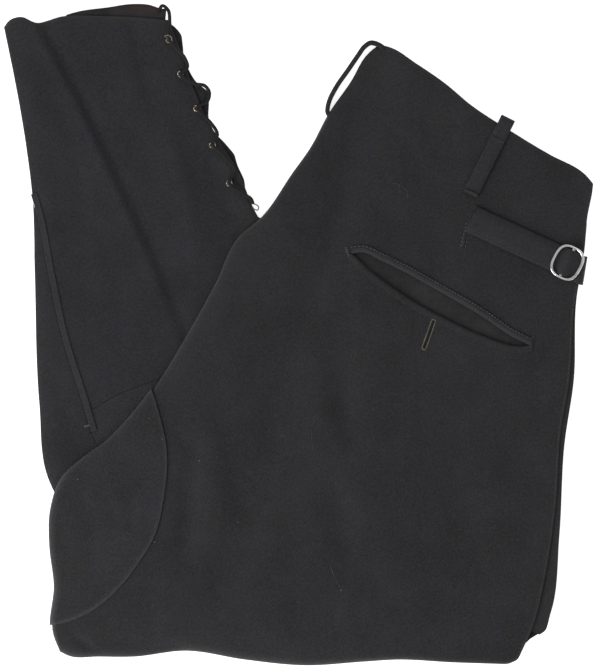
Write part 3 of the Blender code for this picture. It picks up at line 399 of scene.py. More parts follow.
class Skin:
    """An open surface of four-sided faces with its outer side out."""

    def __init__(self, points, faces):
        self.points, self.faces = points, faces
        first, second, third, fourth = (points[faces[:, corner]] for corner in range(4))
        crosses = np.cross(third - first, fourth - second)
        normals = np.zeros_like(points)
        for corner in range(4):
            np.add.at(normals, faces[:, corner], crosses)
        self.normals = unit(normals)

    def moved(self, distance):
        return self.points + self.normals * distance

    def wall(self, inner, outer, bulge=0.45):
        """The closed wall from one distance to the other, with a rounded rim."""
        count = len(self.points)
        used = {}
        for face in self.faces.tolist():
            for start, end in zip(face, face[1:] + face[:1]):
                used[(start, end)] = True
        rim = [(start, end) for start, end in used if (end, start) not in used]
        outward = np.zeros_like(self.points)
        for start, end in rim:
            step = np.cross(self.points[end] - self.points[start], self.normals[start])
            outward[start] += step
            outward[end] += step
        edge = sorted({corner for pair in rim for corner in pair})
        outward[edge] = unit(outward[edge])
        draw = np.zeros((count, 1))
        draw[edge] = 0.22 * (outer - inner)
        upper, lower = self.moved(outer) - self.normals * draw, self.moved(inner) + self.normals * draw
        middle = (self.moved((outer + inner) / 2) + outward * bulge)[edge]
        number = {corner: 2 * count + place for place, corner in enumerate(edge)}
        faces = self.faces.tolist() + (self.faces[:, ::-1] + count).tolist()
        for start, end in rim:
            faces += [(end, start, number[start], number[end]),
                      (number[end], number[start], start + count, end + count)]
        return np.vstack([upper, lower, middle]), faces


def thigh_grid(across_shares, down_shares):
    """Across and down shares of the thigh's points, with closer lines round its two rolls."""
    insets = 1 - np.cos(np.radians(ROLL_ANGLES))
    down_guess = np.concatenate([down_shares, np.ones(len(insets) - 1)])
    side = insets[None, :] * SIDE_ROLL / THIGH.width(down_guess)[:, None]
    start = side[:, -1:]
    across = np.hstack([side, start + (1 - start) * across_shares[None, 1:]])
    knee = insets[::-1, None] * KNEE_ROLL / THIGH.depth(across[0])[None, :]
    end = 1 - knee[:1]
    down = np.vstack([end * down_shares[:-1, None], 1 - knee])
    return across, down


def roll_rise(inset, radius):
    return np.sqrt(1 - (1 - np.clip(inset / radius, 0, 1)) ** 2)


def thigh_points(across, down, below):
    plan = THIGH.plan(across, down)
    rise = np.minimum(roll_rise(across * THIGH.width(down), SIDE_ROLL),
                      roll_rise((1 - down) * THIGH.depth(across), KNEE_ROLL))
    top = thigh_height(plan)
    on_calf = over_calf(plan) * smooth_step((1 - down) * 7 - 0.15)
    low = FLOOR_GAP + (STACK + 0.1 - FLOOR_GAP) * on_calf
    middle = (top + low) / 2
    height = middle + (top - middle) * rise * (-1 if below else 1)
    return np.concatenate([plan, height[..., None]], -1)


def thigh_skin(across_shares, down_shares):
    """The thigh from above, and the parts of it that turn in under the centre fold and the knee."""
    across, down = thigh_grid(across_shares, down_shares)
    rows, columns = across.shape
    turned = len(ROLL_ANGLES) - 3
    above = np.arange(rows * columns).reshape(rows, columns)
    under = above + rows * columns
    under[:, 0] = above[:, 0]
    under[-1, :] = above[-1, :]
    faces = np.vstack([
        grid_faces(above), grid_faces(under[-1 - turned:, turned:])[:, ::-1],
        grid_faces(under[:, :turned + 1])[:, ::-1]])
    points = np.vstack([thigh_points(across, down, below).reshape(-1, 3) for below in (False, True)])
    used, numbers = np.unique(faces, return_inverse=True)
    return Skin(points[used], numbers.reshape(-1, 4))


def calf_skin():
    across, down = np.meshgrid(np.linspace(0, 1, CALF_COLUMNS + 1), np.linspace(0, 1, CALF_ROWS + 1))
    plan = CALF.plan(across, down)
    points = np.concatenate([plan, calf_height(plan)[..., None]], -1)
    return Skin(points.reshape(-1, 3), grid_faces(np.arange(across.size).reshape(across.shape)))


# Materials

class Wire:
    """A number that runs through a material, with ordinary arithmetic on it."""

    def __init__(self, finish, socket):
        self.finish, self.socket = finish, socket

    def maths(self, operation, first, second):
        return self.finish.node("ShaderNodeMath", {"operation": operation}, {0: first, 1: second})

    def __add__(self, other):
        return self.maths("ADD", self, other)

    def __sub__(self, other):
        return self.maths("SUBTRACT", self, other)

    def __rsub__(self, other):
        return self.maths("SUBTRACT", other, self)

    def __mul__(self, other):
        return self.maths("MULTIPLY", self, other)

    __radd__ = __add__
    __rmul__ = __mul__

    def between(self, low, high):
        """0 below the low value and 1 above the high one, smoothly."""
        return self.finish.node("ShaderNodeMapRange", {"interpolation_type": "SMOOTHSTEP"},
                                {"Value": self, "From Min": low, "From Max": high})


class Finish:
    """One material, built node by node."""

    def __init__(self, name, roughness, metallic=0.0, **constants):
        self.material = bpy.data.materials.new(name)
        self.material.use_nodes = True
        self.tree = self.material.node_tree
        self.shader = self.tree.nodes["Principled BSDF"]
        constants = {"Roughness": roughness, "Metallic": metallic, **constants}
        for socket, value in constants.items():
            self.shader.inputs[socket].default_value = value
        self.place = self.node("ShaderNodeTexCoord", {}, {}, "Object")

    def node(self, kind, settings, sockets, output=0):
        made = self.tree.nodes.new(kind)
        for name, value in settings.items():
            setattr(made, name, value)
        for name, value in sockets.items():
            if isinstance(value, Wire):
                self.tree.links.new(value.socket, made.inputs[name])
            else:
                made.inputs[name].default_value = value
        return Wire(self, made.outputs[output])

    def noise(self, scale, detail=2.0, roughness=0.5, place=None):
        return self.node("ShaderNodeTexNoise", {}, {
            "Vector": place or self.place, "Scale": scale, "Detail": detail, "Roughness": roughness})

    def stretched(self, scales):
        return self.node("ShaderNodeMapping", {}, {"Vector": self.place, "Scale": scales})

    def mixed(self, factor, first, second, blend="MIX"):
        first, second = (value if isinstance(value, Wire) else (*value, 1.0) for value in (first, second))
        return self.node("ShaderNodeMix", {"data_type": "RGBA", "blend_type": blend},
                         {0: factor, 6: first, 7: second}, 2)

    def mask(self, name):
        """A value stored on the mesh's points."""
        return self.node("ShaderNodeAttribute", {"attribute_name": name}, {}, "Fac")

    def paint(self, colour=None, roughness=None, bump=None, depth=0.0003, strength=0.6):
        for socket, wire in (("Base Color", colour), ("Roughness", roughness)):
            if wire:
                self.tree.links.new(wire.socket, self.shader.inputs[socket])
        if bump:
            relief = self.node("ShaderNodeBump", {}, {
                "Height": bump, "Distance": depth, "Strength": strength})
            self.tree.links.new(relief.socket, self.shader.inputs["Normal"])
        return self.material


def times(colour, factor):
    return tuple(channel * factor for channel in colour)


def wool(name, colour, wear_and_highlight, nap=1.0):
    """Milled wool: a felted nap with short fibres, uneven dye, and paler places on its edges: partly wear
    from rubbing, partly painted highlight on edges, rolls and crests that face the light.
    """
    finish = Finish(name, 0.92, **{"Sheen Weight": 0.10, "Sheen Roughness": 0.55, "Specular IOR Level": 0.22})
    blotches = finish.noise(26, 3, 0.6)
    flecks = finish.noise(620, 2, 0.6)
    fibres = finish.noise(1300, 3, 0.75, finish.stretched((1.0, 0.5, 1.0)))
    felt = finish.noise(2600, 2, 0.6)
    depth = blotches * 0.2 + flecks * 0.42 + fibres * 0.38
    shade = finish.mixed(depth.between(0.32, 0.68), times(colour, 0.55), times(colour, 1.45))
    for scale, low, high, strength, tint in (
            (420, 0.4, 0.6, 1.0, (1.08, 0.99, 0.91)), (110, 0.4, 0.6, 1.0, (0.95, 1.0, 1.07)),
            (360, 0.5, 0.66, 0.8, (0.91, 0.98, 1.14))):
        dye = finish.noise(scale, 2, 0.5).between(low, high) * strength
        shade = finish.mixed(dye, shade, finish.mixed(1.0, shade, tint, "MULTIPLY"))
    lint = finish.noise(800, 1, 0.5).between(0.75, 0.8) * 0.25
    shade = finish.mixed(lint, shade, (0.16, 0.155, 0.15))
    # Paler where the stored mask says: wear from rubbing, and painted highlight on edges, rolls and crests
    # that face the light.
    pale_share = finish.mask("wear_and_highlight") * (0.55 + fibres * 0.9)
    shade = finish.mixed(pale_share, shade, wear_and_highlight)
    height = felt * 0.5 + fibres * 0.8 + flecks * 0.5 + blotches * 0.6
    return finish.paint(shade, 0.84 + fibres * 0.16, height * nap, 0.0005, 0.55)


def cotton(name, colour, scale=1.0, wear_and_highlight=None):
    """Plain woven cotton, with its two sets of yarns."""
    wear_and_highlight = wear_and_highlight or times(colour, 3.2)
    finish = Finish(name, 0.85, **{"Specular IOR Level": 0.25})
    lengthwise = finish.noise(900 * scale, 2, 0.6, finish.stretched((1.0, 0.2, 1.0)))
    crosswise = finish.noise(900 * scale, 2, 0.6, finish.stretched((0.2, 1.0, 1.0)))
    yarns = lengthwise * 0.5 + crosswise * 0.5
    stains = finish.noise(60, 3, 0.6)
    depth = (yarns * 0.6 + stains * 0.4).between(0.35, 0.65)
    shade = finish.mixed(depth, times(colour, 0.7), times(colour, 1.3))
    shade = finish.mixed(finish.mask("wear_and_highlight") * (0.5 + yarns), shade, wear_and_highlight)
    return finish.paint(shade, 0.8 + yarns * 0.15, yarns, 0.0004, 0.5)


def thread(name, colour):
    """Spun thread, with the light and dark of its twist."""
    finish = Finish(name, 0.7, **{"Specular IOR Level": 0.3, "Sheen Weight": 0.1})
    twist = finish.noise(2400, 2, 0.6)
    age = finish.noise(120, 2, 0.6)
    depth = (twist * 0.6 + age * 0.4).between(0.35, 0.65)
    shade = finish.mixed(depth, times(colour, 0.6), times(colour, 1.35))
    return finish.paint(shade, 0.6 + twist * 0.25, twist, 0.0002, 0.5)


def chrome():
    """Plated steel: bright, with fine scratches and a little dullness."""
    finish = Finish("plated_steel", 0.16, 1.0)
    dull = finish.noise(180, 4, 0.6)
    scratches = finish.noise(2200, 2, 0.6, finish.stretched((1.0, 0.06, 1.0)))
    shade = finish.mixed(dull.between(0.45, 0.75), (0.80, 0.80, 0.81), (0.52, 0.51, 0.50))
    roughness = 0.10 + dull.between(0.4, 0.8) * 0.18 + scratches.between(0.6, 0.75) * 0.12
    return finish.paint(shade, roughness, scratches * 0.5 + dull * 0.5, 0.00008, 0.3)


def eyelet_metal():
    """Dark lacquer, gone in places to show the pale brass of the rings."""
    finish = Finish("eyelet_brass", 0.4, 0.7)
    pale_share = finish.noise(620, 3, 0.6).between(0.44, 0.58)
    grime = finish.noise(1700, 2, 0.6)
    shade = finish.mixed(pale_share, (0.06, 0.050, 0.042), (0.62, 0.54, 0.42))
    return finish.paint(shade, 0.3 + grime * 0.3, pale_share * 0.5 + grime * 0.4, 0.0002, 0.5)


THIGH_WOOL = wool("thigh_wool", (0.0212, 0.0207, 0.0225), (0.052, 0.050, 0.053))
CALF_WOOL = wool("calf_wool", (0.0206, 0.0205, 0.0226), (0.054, 0.053, 0.056))
PATCH_WOOL = wool("patch_wool", (0.0240, 0.0235, 0.0257), (0.062, 0.060, 0.061), 1.1)
TRIM_WOOL = wool("trim_wool", (0.0226, 0.0222, 0.0246), (0.062, 0.060, 0.062))
POCKET_COTTON = cotton("pocket_cotton", (0.0236, 0.0231, 0.0242))
FACING_COTTON = cotton("facing_cotton", (0.0215, 0.0195, 0.0205), wear_and_highlight=(0.070, 0.046, 0.032))
LACE_COTTON = cotton("lace_cotton", (0.0165, 0.0150, 0.0150), 1.6)
DARK_THREAD = thread("dark_thread", (0.027, 0.026, 0.028))
LIGHT_THREAD = thread("light_thread", (0.082, 0.078, 0.078))
PALE_THREAD = thread("pale_thread", (0.115, 0.110, 0.105))
TAN_THREAD = thread("tan_thread", (0.165, 0.150, 0.115))
SEAM_THREAD = thread("seam_thread", (0.080, 0.046, 0.032))
HOLE_SHADOW = cotton("slit_shadow", (0.012, 0.012, 0.012))
CHROME = chrome()
EYELET_BRASS = eyelet_metal()


# Making pieces

def mesh_object(name, points, faces, finish, slot=None, sharp=50):
    mesh = bpy.data.meshes.new(name)
    faces = [tuple(map(int, face)) for face in faces]
    mesh.from_pydata([tuple(point) for point in np.asarray(points) * MILLIMETRE], [], faces)
    mesh.update()
    mesh.shade_smooth()
    mesh.set_sharp_from_angle(angle=math.radians(sharp))
    if finish:
        mesh.materials.append(finish)
    built = bpy.data.objects.new(name, mesh)
    bpy.context.scene.collection.objects.link(built)
    if slot:
        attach(built, "root")
    return built


def points_of(piece):
    places = np.zeros(len(piece.data.vertices) * 3)
    piece.data.vertices.foreach_get("co", places)
    return places.reshape(-1, 3) / MILLIMETRE


def set_points(piece, points):
    piece.data.vertices.foreach_set("co", (points * MILLIMETRE).ravel())
    piece.data.update()


def normals_of(piece):
    normals = np.zeros(len(piece.data.vertices) * 3)
    piece.data.vertices.foreach_get("normal", normals)
    return normals.reshape(-1, 3)


def store_wear_and_highlight(piece, amount):
    """Store at each of the cloth's points, from 0 to 1, how far it is painted paler: wear from rubbing, and
    painted highlight on edges, rolls and crests that face the light.
    """
    amount = np.broadcast_to(np.clip(amount, 0, 1), len(piece.data.vertices))
    attribute = piece.data.attributes.new("wear_and_highlight", "FLOAT", "POINT")
    attribute.data.foreach_set("value", amount.astype(np.float32))


def combine(target, tool, operation):
    modifier = target.modifiers.new(operation.lower(), "BOOLEAN")
    modifier.operation = operation
    modifier.solver = "EXACT"
    modifier.object = tool
    evaluated = target.evaluated_get(bpy.context.evaluated_depsgraph_get())
    mesh = bpy.data.meshes.new_from_object(evaluated)
    target.modifiers.clear()
    target.data = mesh
    bpy.data.objects.remove(tool)
    mesh.shade_smooth()
    mesh.set_sharp_from_angle(angle=math.radians(50))
    return target


def prism(outline, low=-5.0, high=40.0):
    """An upright cutter with the outline's plan."""
    outline = np.array(outline, float)
    following = np.roll(outline, -1, axis=0)
    if (outline[:, 0] * following[:, 1] - outline[:, 1] * following[:, 0]).sum() < 0:
        outline = outline[::-1]
    count = len(outline)
    points = [(*corner, height) for height in (low, high) for corner in outline]
    sides = [(i, (i + 1) % count, (i + 1) % count + count, i + count) for i in range(count)]
    caps = [tuple(reversed(range(count))), tuple(range(count, 2 * count))]
    return mesh_object("cutter", points, sides + caps, None)


def cut_piece(name, skin, inner, outer, outline, finish, slot, low=-5.0):
    """The part of a skin's wall inside an outline, and above a height."""
    wall = mesh_object(name, *skin.wall(inner, outer), finish, slot)
    return combine(wall, prism(outline, low), "INTERSECT")


def soft_rim(piece, table, reach, drop):
    """Round a cut edge: near the line the outer side comes down."""
    points = points_of(piece)
    near = (1 - np.clip(edge_distance(points, table) / reach, 0, 1)) ** 2
    points[:, 2] -= drop * near * (normals_of(piece)[:, 2] > -0.2)
    set_points(piece, points)


def tube(name, rows, finish, slot, closed_run=False, sharp=60):
    """A solid whose cross-section's corners are the rows: each row is one corner's run of points."""
    rows = np.array(rows)
    corners, count = rows.shape[:2]
    numbers = np.arange(corners * count).reshape(corners, count)
    ring = np.vstack([numbers, numbers[:1]])
    if closed_run:
        ring = np.hstack([ring, ring[:, :1]])
    faces = grid_faces(ring).tolist()
    if not closed_run:
        faces += [tuple(numbers[::-1, 0]), tuple(numbers[:, -1])]
    points = rows.reshape(-1, 3)
    first, second, third = (points[[face[corner] for face in faces]] for corner in range(3))
    if (np.cross(second - first, third - first) * first).sum() < 0:
        faces = [tuple(reversed(face)) for face in faces]
    return mesh_object(name, points, faces, finish, slot, sharp)


def sewn_strip(name, line, profile, height, finish, slot, count=90):
    """A strip sewn flat on the cloth. The profile gives distances to the line's left, and heights."""
    curve = Curve(line)
    rows = [laid(curve.moved(distance, count), height, lift) for distance, lift in profile]
    return tube(name, rows, finish, slot)


def rounded_profile(near, far, thickness, base=-0.15, corner=0.5):
    return [
        (near, base), (near, thickness - corner), (near + corner * 0.3, thickness - corner * 0.3),
        (near + corner, thickness), ((near + far) / 2, thickness + 0.1), (far - corner, thickness),
        (far - corner * 0.3, thickness - corner * 0.3), (far, thickness - corner), (far, base)]


def capsules(name, starts, ends, radius, finish, slot, sides=6):
    """Short threads lying between pairs of points, with rounded ends."""
    stations = [(0.0, 0.15), (0.1, 0.75), (0.3, 1.0), (0.7, 1.0), (0.9, 0.75), (1.0, 0.15)]
    points, faces = [], []
    for start, end in zip(starts, ends):
        along = end - start
        side = unit(np.cross(along, (0.0, 0.0, 1.0)))
        up = unit(np.cross(side, along))
        rings = np.arange(len(stations) * sides).reshape(-1, sides) + len(points)
        for share, width in stations:
            for angle in turns(sides):
                reach = side * math.cos(angle) + up * math.sin(angle)
                points.append(start + along * share + radius * width * reach)
        faces += grid_faces(np.hstack([rings, rings[:, :1]])).tolist()
        faces += [tuple(rings[0]), tuple(rings[-1, ::-1])]
    return mesh_object(name, points, faces, finish, slot)


def stitches(name, line, offset, height, finish, slot, pitch, share, radius, lift):
    """A row of stitches beside a line on the cloth."""
    curve = Curve(line)
    count = max(2, int(curve.length / pitch))
    begins = (np.arange(count) + np.random.default_rng(3).uniform(0, 0.12, count)) / count
    beside = curve.moved(offset, 400)
    starts, ends = (
        laid(between_rows(beside, shares), height, lift) for shares in (begins, begins + share / count))
    return capsules(name, starts, ends, radius, finish, slot)


def edge_stitches(prefix, names, path, across, share, lift, numbers):
    """Stitches along both edges of a ribbon, each from a numbered point to the next."""
    numbers = np.array(numbers)
    for side, name in zip((1, -1), names):
        shift = across[numbers] * share * side + (0, 0, lift)
        starts, ends = path[numbers] + shift, path[numbers + 1] + shift
        capsules(f"{prefix}_{name}", starts, ends, 0.2, DARK_THREAD, "wool")


def bar_tack(name, start, end, width, height, finish, slot, lift=0.5, pitch=0.55):
    """Threads packed side by side across a short bar."""
    start, end = np.array(start, float), np.array(end, float)
    count = int(np.linalg.norm(end - start) / pitch) + 1
    places = start + (end - start) * np.linspace(0, 1, count)[:, None]
    across = sideways(end - start, width)
    starts, ends = (laid(places + side * across, height, lift - 0.25) for side in (-1, 1))
    return capsules(name, starts, ends, 0.36, finish, slot)


def ribbon(name, path, across, thickness, finish, slot, corner=0.32):
    """A flat band with rounded sides along a path of centre points; across holds half its width at each."""
    path, across = np.array(path, float), np.array(across, float)
    up = unit(np.cross(np.gradient(path, axis=0), across)) * thickness / 2
    side = unit(across) * thickness * corner
    shape = [(1, 0, 0.55), (1, -0.6, 1), (0.33, 0, 1), (-0.33, 0, 1), (-1, 0.6, 1), (-1, 0, 0.55),
             (-1, 0, -0.55), (-1, 0.6, -1), (1, -0.6, -1), (1, 0, -0.55)]
    rows = [path + across * share + side * shift + up * rise for share, shift, rise in shape]
    return tube(name, rows, finish, slot)


def level_at(level):
    """A height that is the same everywhere."""
    def height(points):
        return np.full(points.shape[:-1], level)
    return height


def highest(height, place, across):
    shares = np.linspace(-1, 1, 7)[:, None]
    return float(height(place + across * shares).max())


def sideways(direction, width):
    direction = unit(np.array(direction, float))
    return np.array([-direction[1], direction[0]]) * width / 2


# The thigh

def thigh_pieces():
    skin = thigh_skin(np.linspace(0, 1, THIGH_COLUMNS + 1), np.linspace(0, 1, THIGH_ROWS + 1))
    panel = mesh_object("back_panel_cloth", *skin.wall(-CLOTH, 0), THIGH_WOOL, "wool")
    combine(panel, prism(pocket_outline(0)), "DIFFERENCE")
    for table in (POCKET_UPPER_LIP, POCKET_LOWER_LIP):
        soft_rim(panel, table, 4.0, 0.5)
    points = points_of(panel)
    edge, fold = edge_distance(points, WAIST_EDGE, OUTSEAM_EDGE), edge_distance(points, FOLD_EDGE)
    # Paler in a narrow band of wear along the waist and outseam edges, and in a wide band along the fold edge
    # that is painted highlight on the roll facing the light.
    store_wear_and_highlight(panel, 0.45 * bell(edge, 1.6) + 0.10 * bell(fold, 22))
    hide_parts("back_panel")
    return skin


def pocket_outline(margin):
    """The pocket mouth's outline, widened by a margin on both lips."""
    return np.vstack([Curve(POCKET_UPPER_LIP).moved(margin), Curve(POCKET_LOWER_LIP).moved(-margin)[::-1]])


def pocket(skin):
    """The bag behind the mouth, a welt along each lip, and their sewing."""
    top = -CLOTH - SEAM
    bag = cut_piece("pocket_bag_cloth", skin, top - BAG_CLOTH, top, pocket_outline(5), POCKET_COTTON,
                    "pocket_cotton")
    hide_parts("pocket_bag")
    upper = [(-0.5, -1.6), (-0.7, -0.2), (-0.2, 0.9), (0.7, 1.35), (2.2, 1.45), (3.8, 1.3), (4.8, 0.9),
             (5.1, 0.1), (5.0, -0.3)]
    lower = [(-4.6, -0.2), (-4.8, 0.1), (-4.2, 0.4), (-3.0, 0.6), (-1.6, 0.6), (-0.5, 0.3), (0.3, -0.3),
             (0.5, -1.6), (-0.6, -1.8)]
    for place, line, profile, crest, amount in (
            ("upper", POCKET_UPPER_LIP, upper, 1.0, 0.28), ("lower", POCKET_LOWER_LIP, lower, -0.9, 0.12)):
        welt = sewn_strip(f"pocket_welt_{place}_cloth", line, profile, thigh_height, TRIM_WOOL, "wool", 120)
        # Paler along each welt's crest: painted highlight, with a little wear from rubbing.
        store_wear_and_highlight(welt, amount * bell(side_distance(points_of(welt), line) - crest, 1.3))
        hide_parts(f"pocket_welt_{place}")
    stitches("pocket_stitches_upper", POCKET_UPPER_LIP, 4.3, thigh_height, PALE_THREAD, "wool",
             2.6, 0.55, 0.27, 1.2)
    stitches("pocket_stitches_lower", POCKET_LOWER_LIP, -4.0, thigh_height, DARK_THREAD, "wool",
             2.6, 0.6, 0.2, 0.5)
    bar_tack("pocket_tack_left", (38.5, 69.5), (41.0, 61.5), 2.0, thigh_height, LIGHT_THREAD, "wool",
             0.3, 1.3)
    bar_tack("pocket_tack_right", (188.5, -1.5), (186.5, -11.5), 2.6, thigh_height, DARK_THREAD, "wool")


def buttonhole():
    """A worked buttonhole: stitches side by side round a slit."""
    line = Curve(BUTTONHOLE)
    ahead = unit(line.points[-1] - line.points[0])
    beside = np.array([-ahead[1], ahead[0]])
    fans = []
    for end, facing in ((line.points[0], -1), (line.points[-1], 1)):
        angles = np.linspace(-0.5, 0.5, 9)[:, None] * math.pi
        fans.append((end, ahead * facing * np.cos(angles) + beside * np.sin(angles)))
    inner, outer = (
        np.vstack([line.moved(reach, 34), line.moved(-reach, 34)] + [end + fan * reach for end, fan in fans])
        for reach in (1.1, 2.2))
    capsules("buttonhole_stitches", laid(inner, thigh_height, 0.25), laid(outer, thigh_height, 0.12), 0.3,
             TAN_THREAD, "wool")
    sewn_strip("buttonhole_slit", BUTTONHOLE, [(-1.2, -0.2), (-1.0, 0.1), (1.0, 0.1), (1.2, -0.2)],
               thigh_height, HOLE_SHADOW, "wool", 20)


def outseam():
    """The front panel past the outseam, and the thread that shows along the seam."""
    seam = THIGH.right.spaced(400)
    seam = seam[(seam[:, 1] < 90) & (seam[:, 1] > -238)][::2]
    out = left_of(seam)
    width = np.maximum(edge_distance(seam, FRONT_EDGE), 0.4)[:, None]
    top = thigh_height(seam)[:, None] - CLOTH - SEAM
    profile = [(-2.7, 0), (-0.5, 0), (0.0, -0.35), (0.0, -CLOTH + 0.35), (-0.5, -CLOTH), (-2.7, -CLOTH)]
    rows = [np.hstack([seam + out * (width + distance if distance > -2 else distance), top + drop])
            for distance, drop in profile]
    strip = tube("front_panel_cloth", rows, THIGH_WOOL, "wool")
    store_wear_and_highlight(strip, 0.4 * bell(edge_distance(points_of(strip), FRONT_EDGE), 1.2))
    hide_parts("front_panel")
    inside = THIGH.right.spaced(40, 0.14, 0.985)
    stitches("outseam_stitches", inside - left_of(inside) * 0.9, 0.0, thigh_height, SEAM_THREAD, "wool",
             3.0, 0.7, 0.22, 0.1)


def knee_patch():
    """The curved patch over the inner knee, turned in under its stitched edge."""
    skin = thigh_skin(np.linspace(0, 0.34, 70), np.linspace(0.4, 1, 130))
    outline = np.vstack([Curve(PATCH_EDGE).spaced(90), [(-260, -233), (-260, -30)]])
    patch = cut_piece("knee_patch_cloth", skin, 0.1, SEAM + PATCH_CLOTH, outline, PATCH_WOOL, "patch_wool",
                      12.0)
    soft_rim(patch, PATCH_EDGE, 2.4, 0.7)
    # Paler along the patch's rim: wear from rubbing, and painted highlight where the rim would fall in shade.
    store_wear_and_highlight(patch, 0.6 * bell(edge_distance(points_of(patch), PATCH_EDGE) - 0.7, 1.3))
    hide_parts("knee_patch")
    stitches("patch_stitches", PATCH_EDGE[:-2], -3.4, thigh_height, DARK_THREAD, "patch_wool",
             3.0, 0.62, 0.22, 1.95)


def dart():
    sewn_strip("dart_fold", DART_LINE, [(-1.8, -0.1), (-1.2, 0.35), (0.2, 0.8), (0.8, 0.6), (1.0, -0.1)],
               thigh_height, THIGH_WOOL, "wool", 40)
    stitches("dart_stitches", DART_LINE, 1.7, thigh_height, LIGHT_THREAD, "wool", 3.0, 0.55, 0.3, 0.15)
    stitches("dart_end_stitches", DART_LINE[1:], -1.9, thigh_height, PALE_THREAD, "wool", 2.8, 0.5, 0.3, 0.15)


def side_loop():
    """The belt loop that stands up past the waist edge, tacked at its foot and its crest."""
    foot, crest = (np.array(point, float) for point in SIDE_LOOP_LINE)
    ahead = unit(crest - foot)
    half = sideways(crest - foot, LOOP_WIDTH)
    path = []
    for share in np.linspace(0, 0.94, 9):
        place = foot + (crest - foot) * share
        lift = SEAM + 0.9 + 0.7 * math.sin(math.pi * share)
        path.append((*place, highest(thigh_height, place, half) + lift))
    level = path[-1][2]
    path += [(*(crest + ahead * past), level - drop) for past, drop in LOOP_TURN]
    path = Curve(path).spaced(60)
    across = np.tile((*half, 0), (len(path), 1))
    side = ribbon("belt_loop_side_cloth", path, across, LOOP_CLOTH, TRIM_WOOL, "wool")
    store_wear_and_highlight(side, 0.08)
    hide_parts("belt_loop_side")
    foot_level = highest(thigh_height, foot + ahead * 3, half) + SEAM + 2.7
    for name, place, share, width, level in (
            ("foot", foot + ahead * 2.2, 0.9, 2.6, foot_level),
            ("crest", path[40, :2], 0.85, 2.2, path[40, 2] + 1.1)):
        bar_tack(f"loop_tack_{name}", place - half * share, place + half * share, width, level_at(level),
                 DARK_THREAD, "wool", 0.35)
    edge_stitches("loop_stitches", ("left", "right"), path, across, 0.78, 1.15, range(4, 42, 2))


def back_loop():
    """The centre-back belt loop, seen edge on, with both ends sewn in."""
    path = [(x, y, BACK_LOOP_HEIGHT) for x, y in Curve(BACK_LOOP_LINE).spaced(70)]
    across = [(0, 0, BACK_LOOP_REACH)] * len(path)
    back = ribbon("belt_loop_back_cloth", path, across, BACK_LOOP_CLOTH, TRIM_WOOL, "wool")
    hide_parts("belt_loop_back")


def strap_and_slide():
    """The cinch strap under the slide's side bars and over its middle bar, then down the edge."""
    line = Curve(STRAP_LINE)
    centre, next_place = line.at(np.array([SLIDE_SHARE, SLIDE_SHARE + 0.03]))
    along = unit(next_place - centre)
    half = sideways(along, STRAP_WIDTH)
    base = max(highest(thigh_height, centre + along * step, half)
               for step in np.linspace(-0.5, 0.5, 5) * SLIDE_BREADTH)
    path, across = [], []
    for place in np.vstack([line.spaced(7, 0, 0.72), line.spaced(11, 0.76, 1)]):
        distance = (place - centre) @ along
        near = math.exp(-(distance / 16) ** 4)
        over_bar = 3.8 * bell(distance, 4.0)
        level = highest(thigh_height, place, half * 0.98) * (1 - near) + base * near
        path.append((*place, level + SEAM - 0.1 + STRAP_CLOTH / 2 + over_bar))
        across.append((*(half * (1 - 0.02 * near)), 0))
    level = path[-1][2]
    edge_ahead = np.array(STRAP_TURN_STEP)
    out = np.array([edge_ahead[1], -edge_ahead[0]])
    turned = edge_ahead * STRAP_WIDTH / 2 / abs(edge_ahead @ half * 2 / STRAP_WIDTH)
    for past, drop in STRAP_DROP:
        path.append((*(STRAP_TURN + out * past), level - drop))
        across.append((*turned, 0))
    path, across = (between_rows(rows, np.linspace(0, 1, 110)) for rows in (path, across))
    strap = ribbon("cinch_strap_cloth", path - (0, 0, 0.2), across, STRAP_CLOTH - 0.4, TRIM_WOOL, "wool")
    store_wear_and_highlight(strap, 0.09)
    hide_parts("cinch_strap")
    edge_stitches("strap_stitches", ("upper", "lower"), path, across, 0.84, STRAP_CLOTH / 2 - 0.3,
                  range(3, 78, 2))
    slide(centre, along, base + SEAM + STRAP_CLOTH + 1.7)


def slide(centre, along, level):
    """The metal frame, a rounded ring of flattened wire, and the bar across its middle."""
    side = np.array([-along[1], along[0]])
    plan = np.stack([np.cos(turns(96)), np.sin(turns(96))], -1)
    plan = np.sign(plan) * np.abs(plan) ** 0.72 / 2
    outer = plan * (SLIDE_BREADTH, SLIDE_LENGTH)
    inner = plan * (SLIDE_BREADTH - SLIDE_BARS[0], SLIDE_LENGTH - SLIDE_BARS[1])
    rows = []
    for turn in turns(14):
        flat = math.copysign(abs(math.cos(turn)) ** 0.8, math.cos(turn))
        place = (outer + inner) / 2 + (outer - inner) / 2 * flat
        ring = centre + place[:, :1] * along + place[:, 1:] * side
        rows.append(np.hstack([ring, np.full((len(ring), 1), level + 1.05 * math.sin(turn))]))
    slide_frame = tube("slide_frame", rows, CHROME, "buckle_steel", True)
    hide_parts("buckle")
    half = side * (SLIDE_LENGTH / 2 - 1.7)
    bar = [(*(centre + half * share), level - 1.9) for share in np.linspace(-1, 1, 12)]
    ribbon("slide_bar", bar, [(*(along * 1.1), 0)] * len(bar), 1.0, CHROME, "buckle_steel")


# The calf

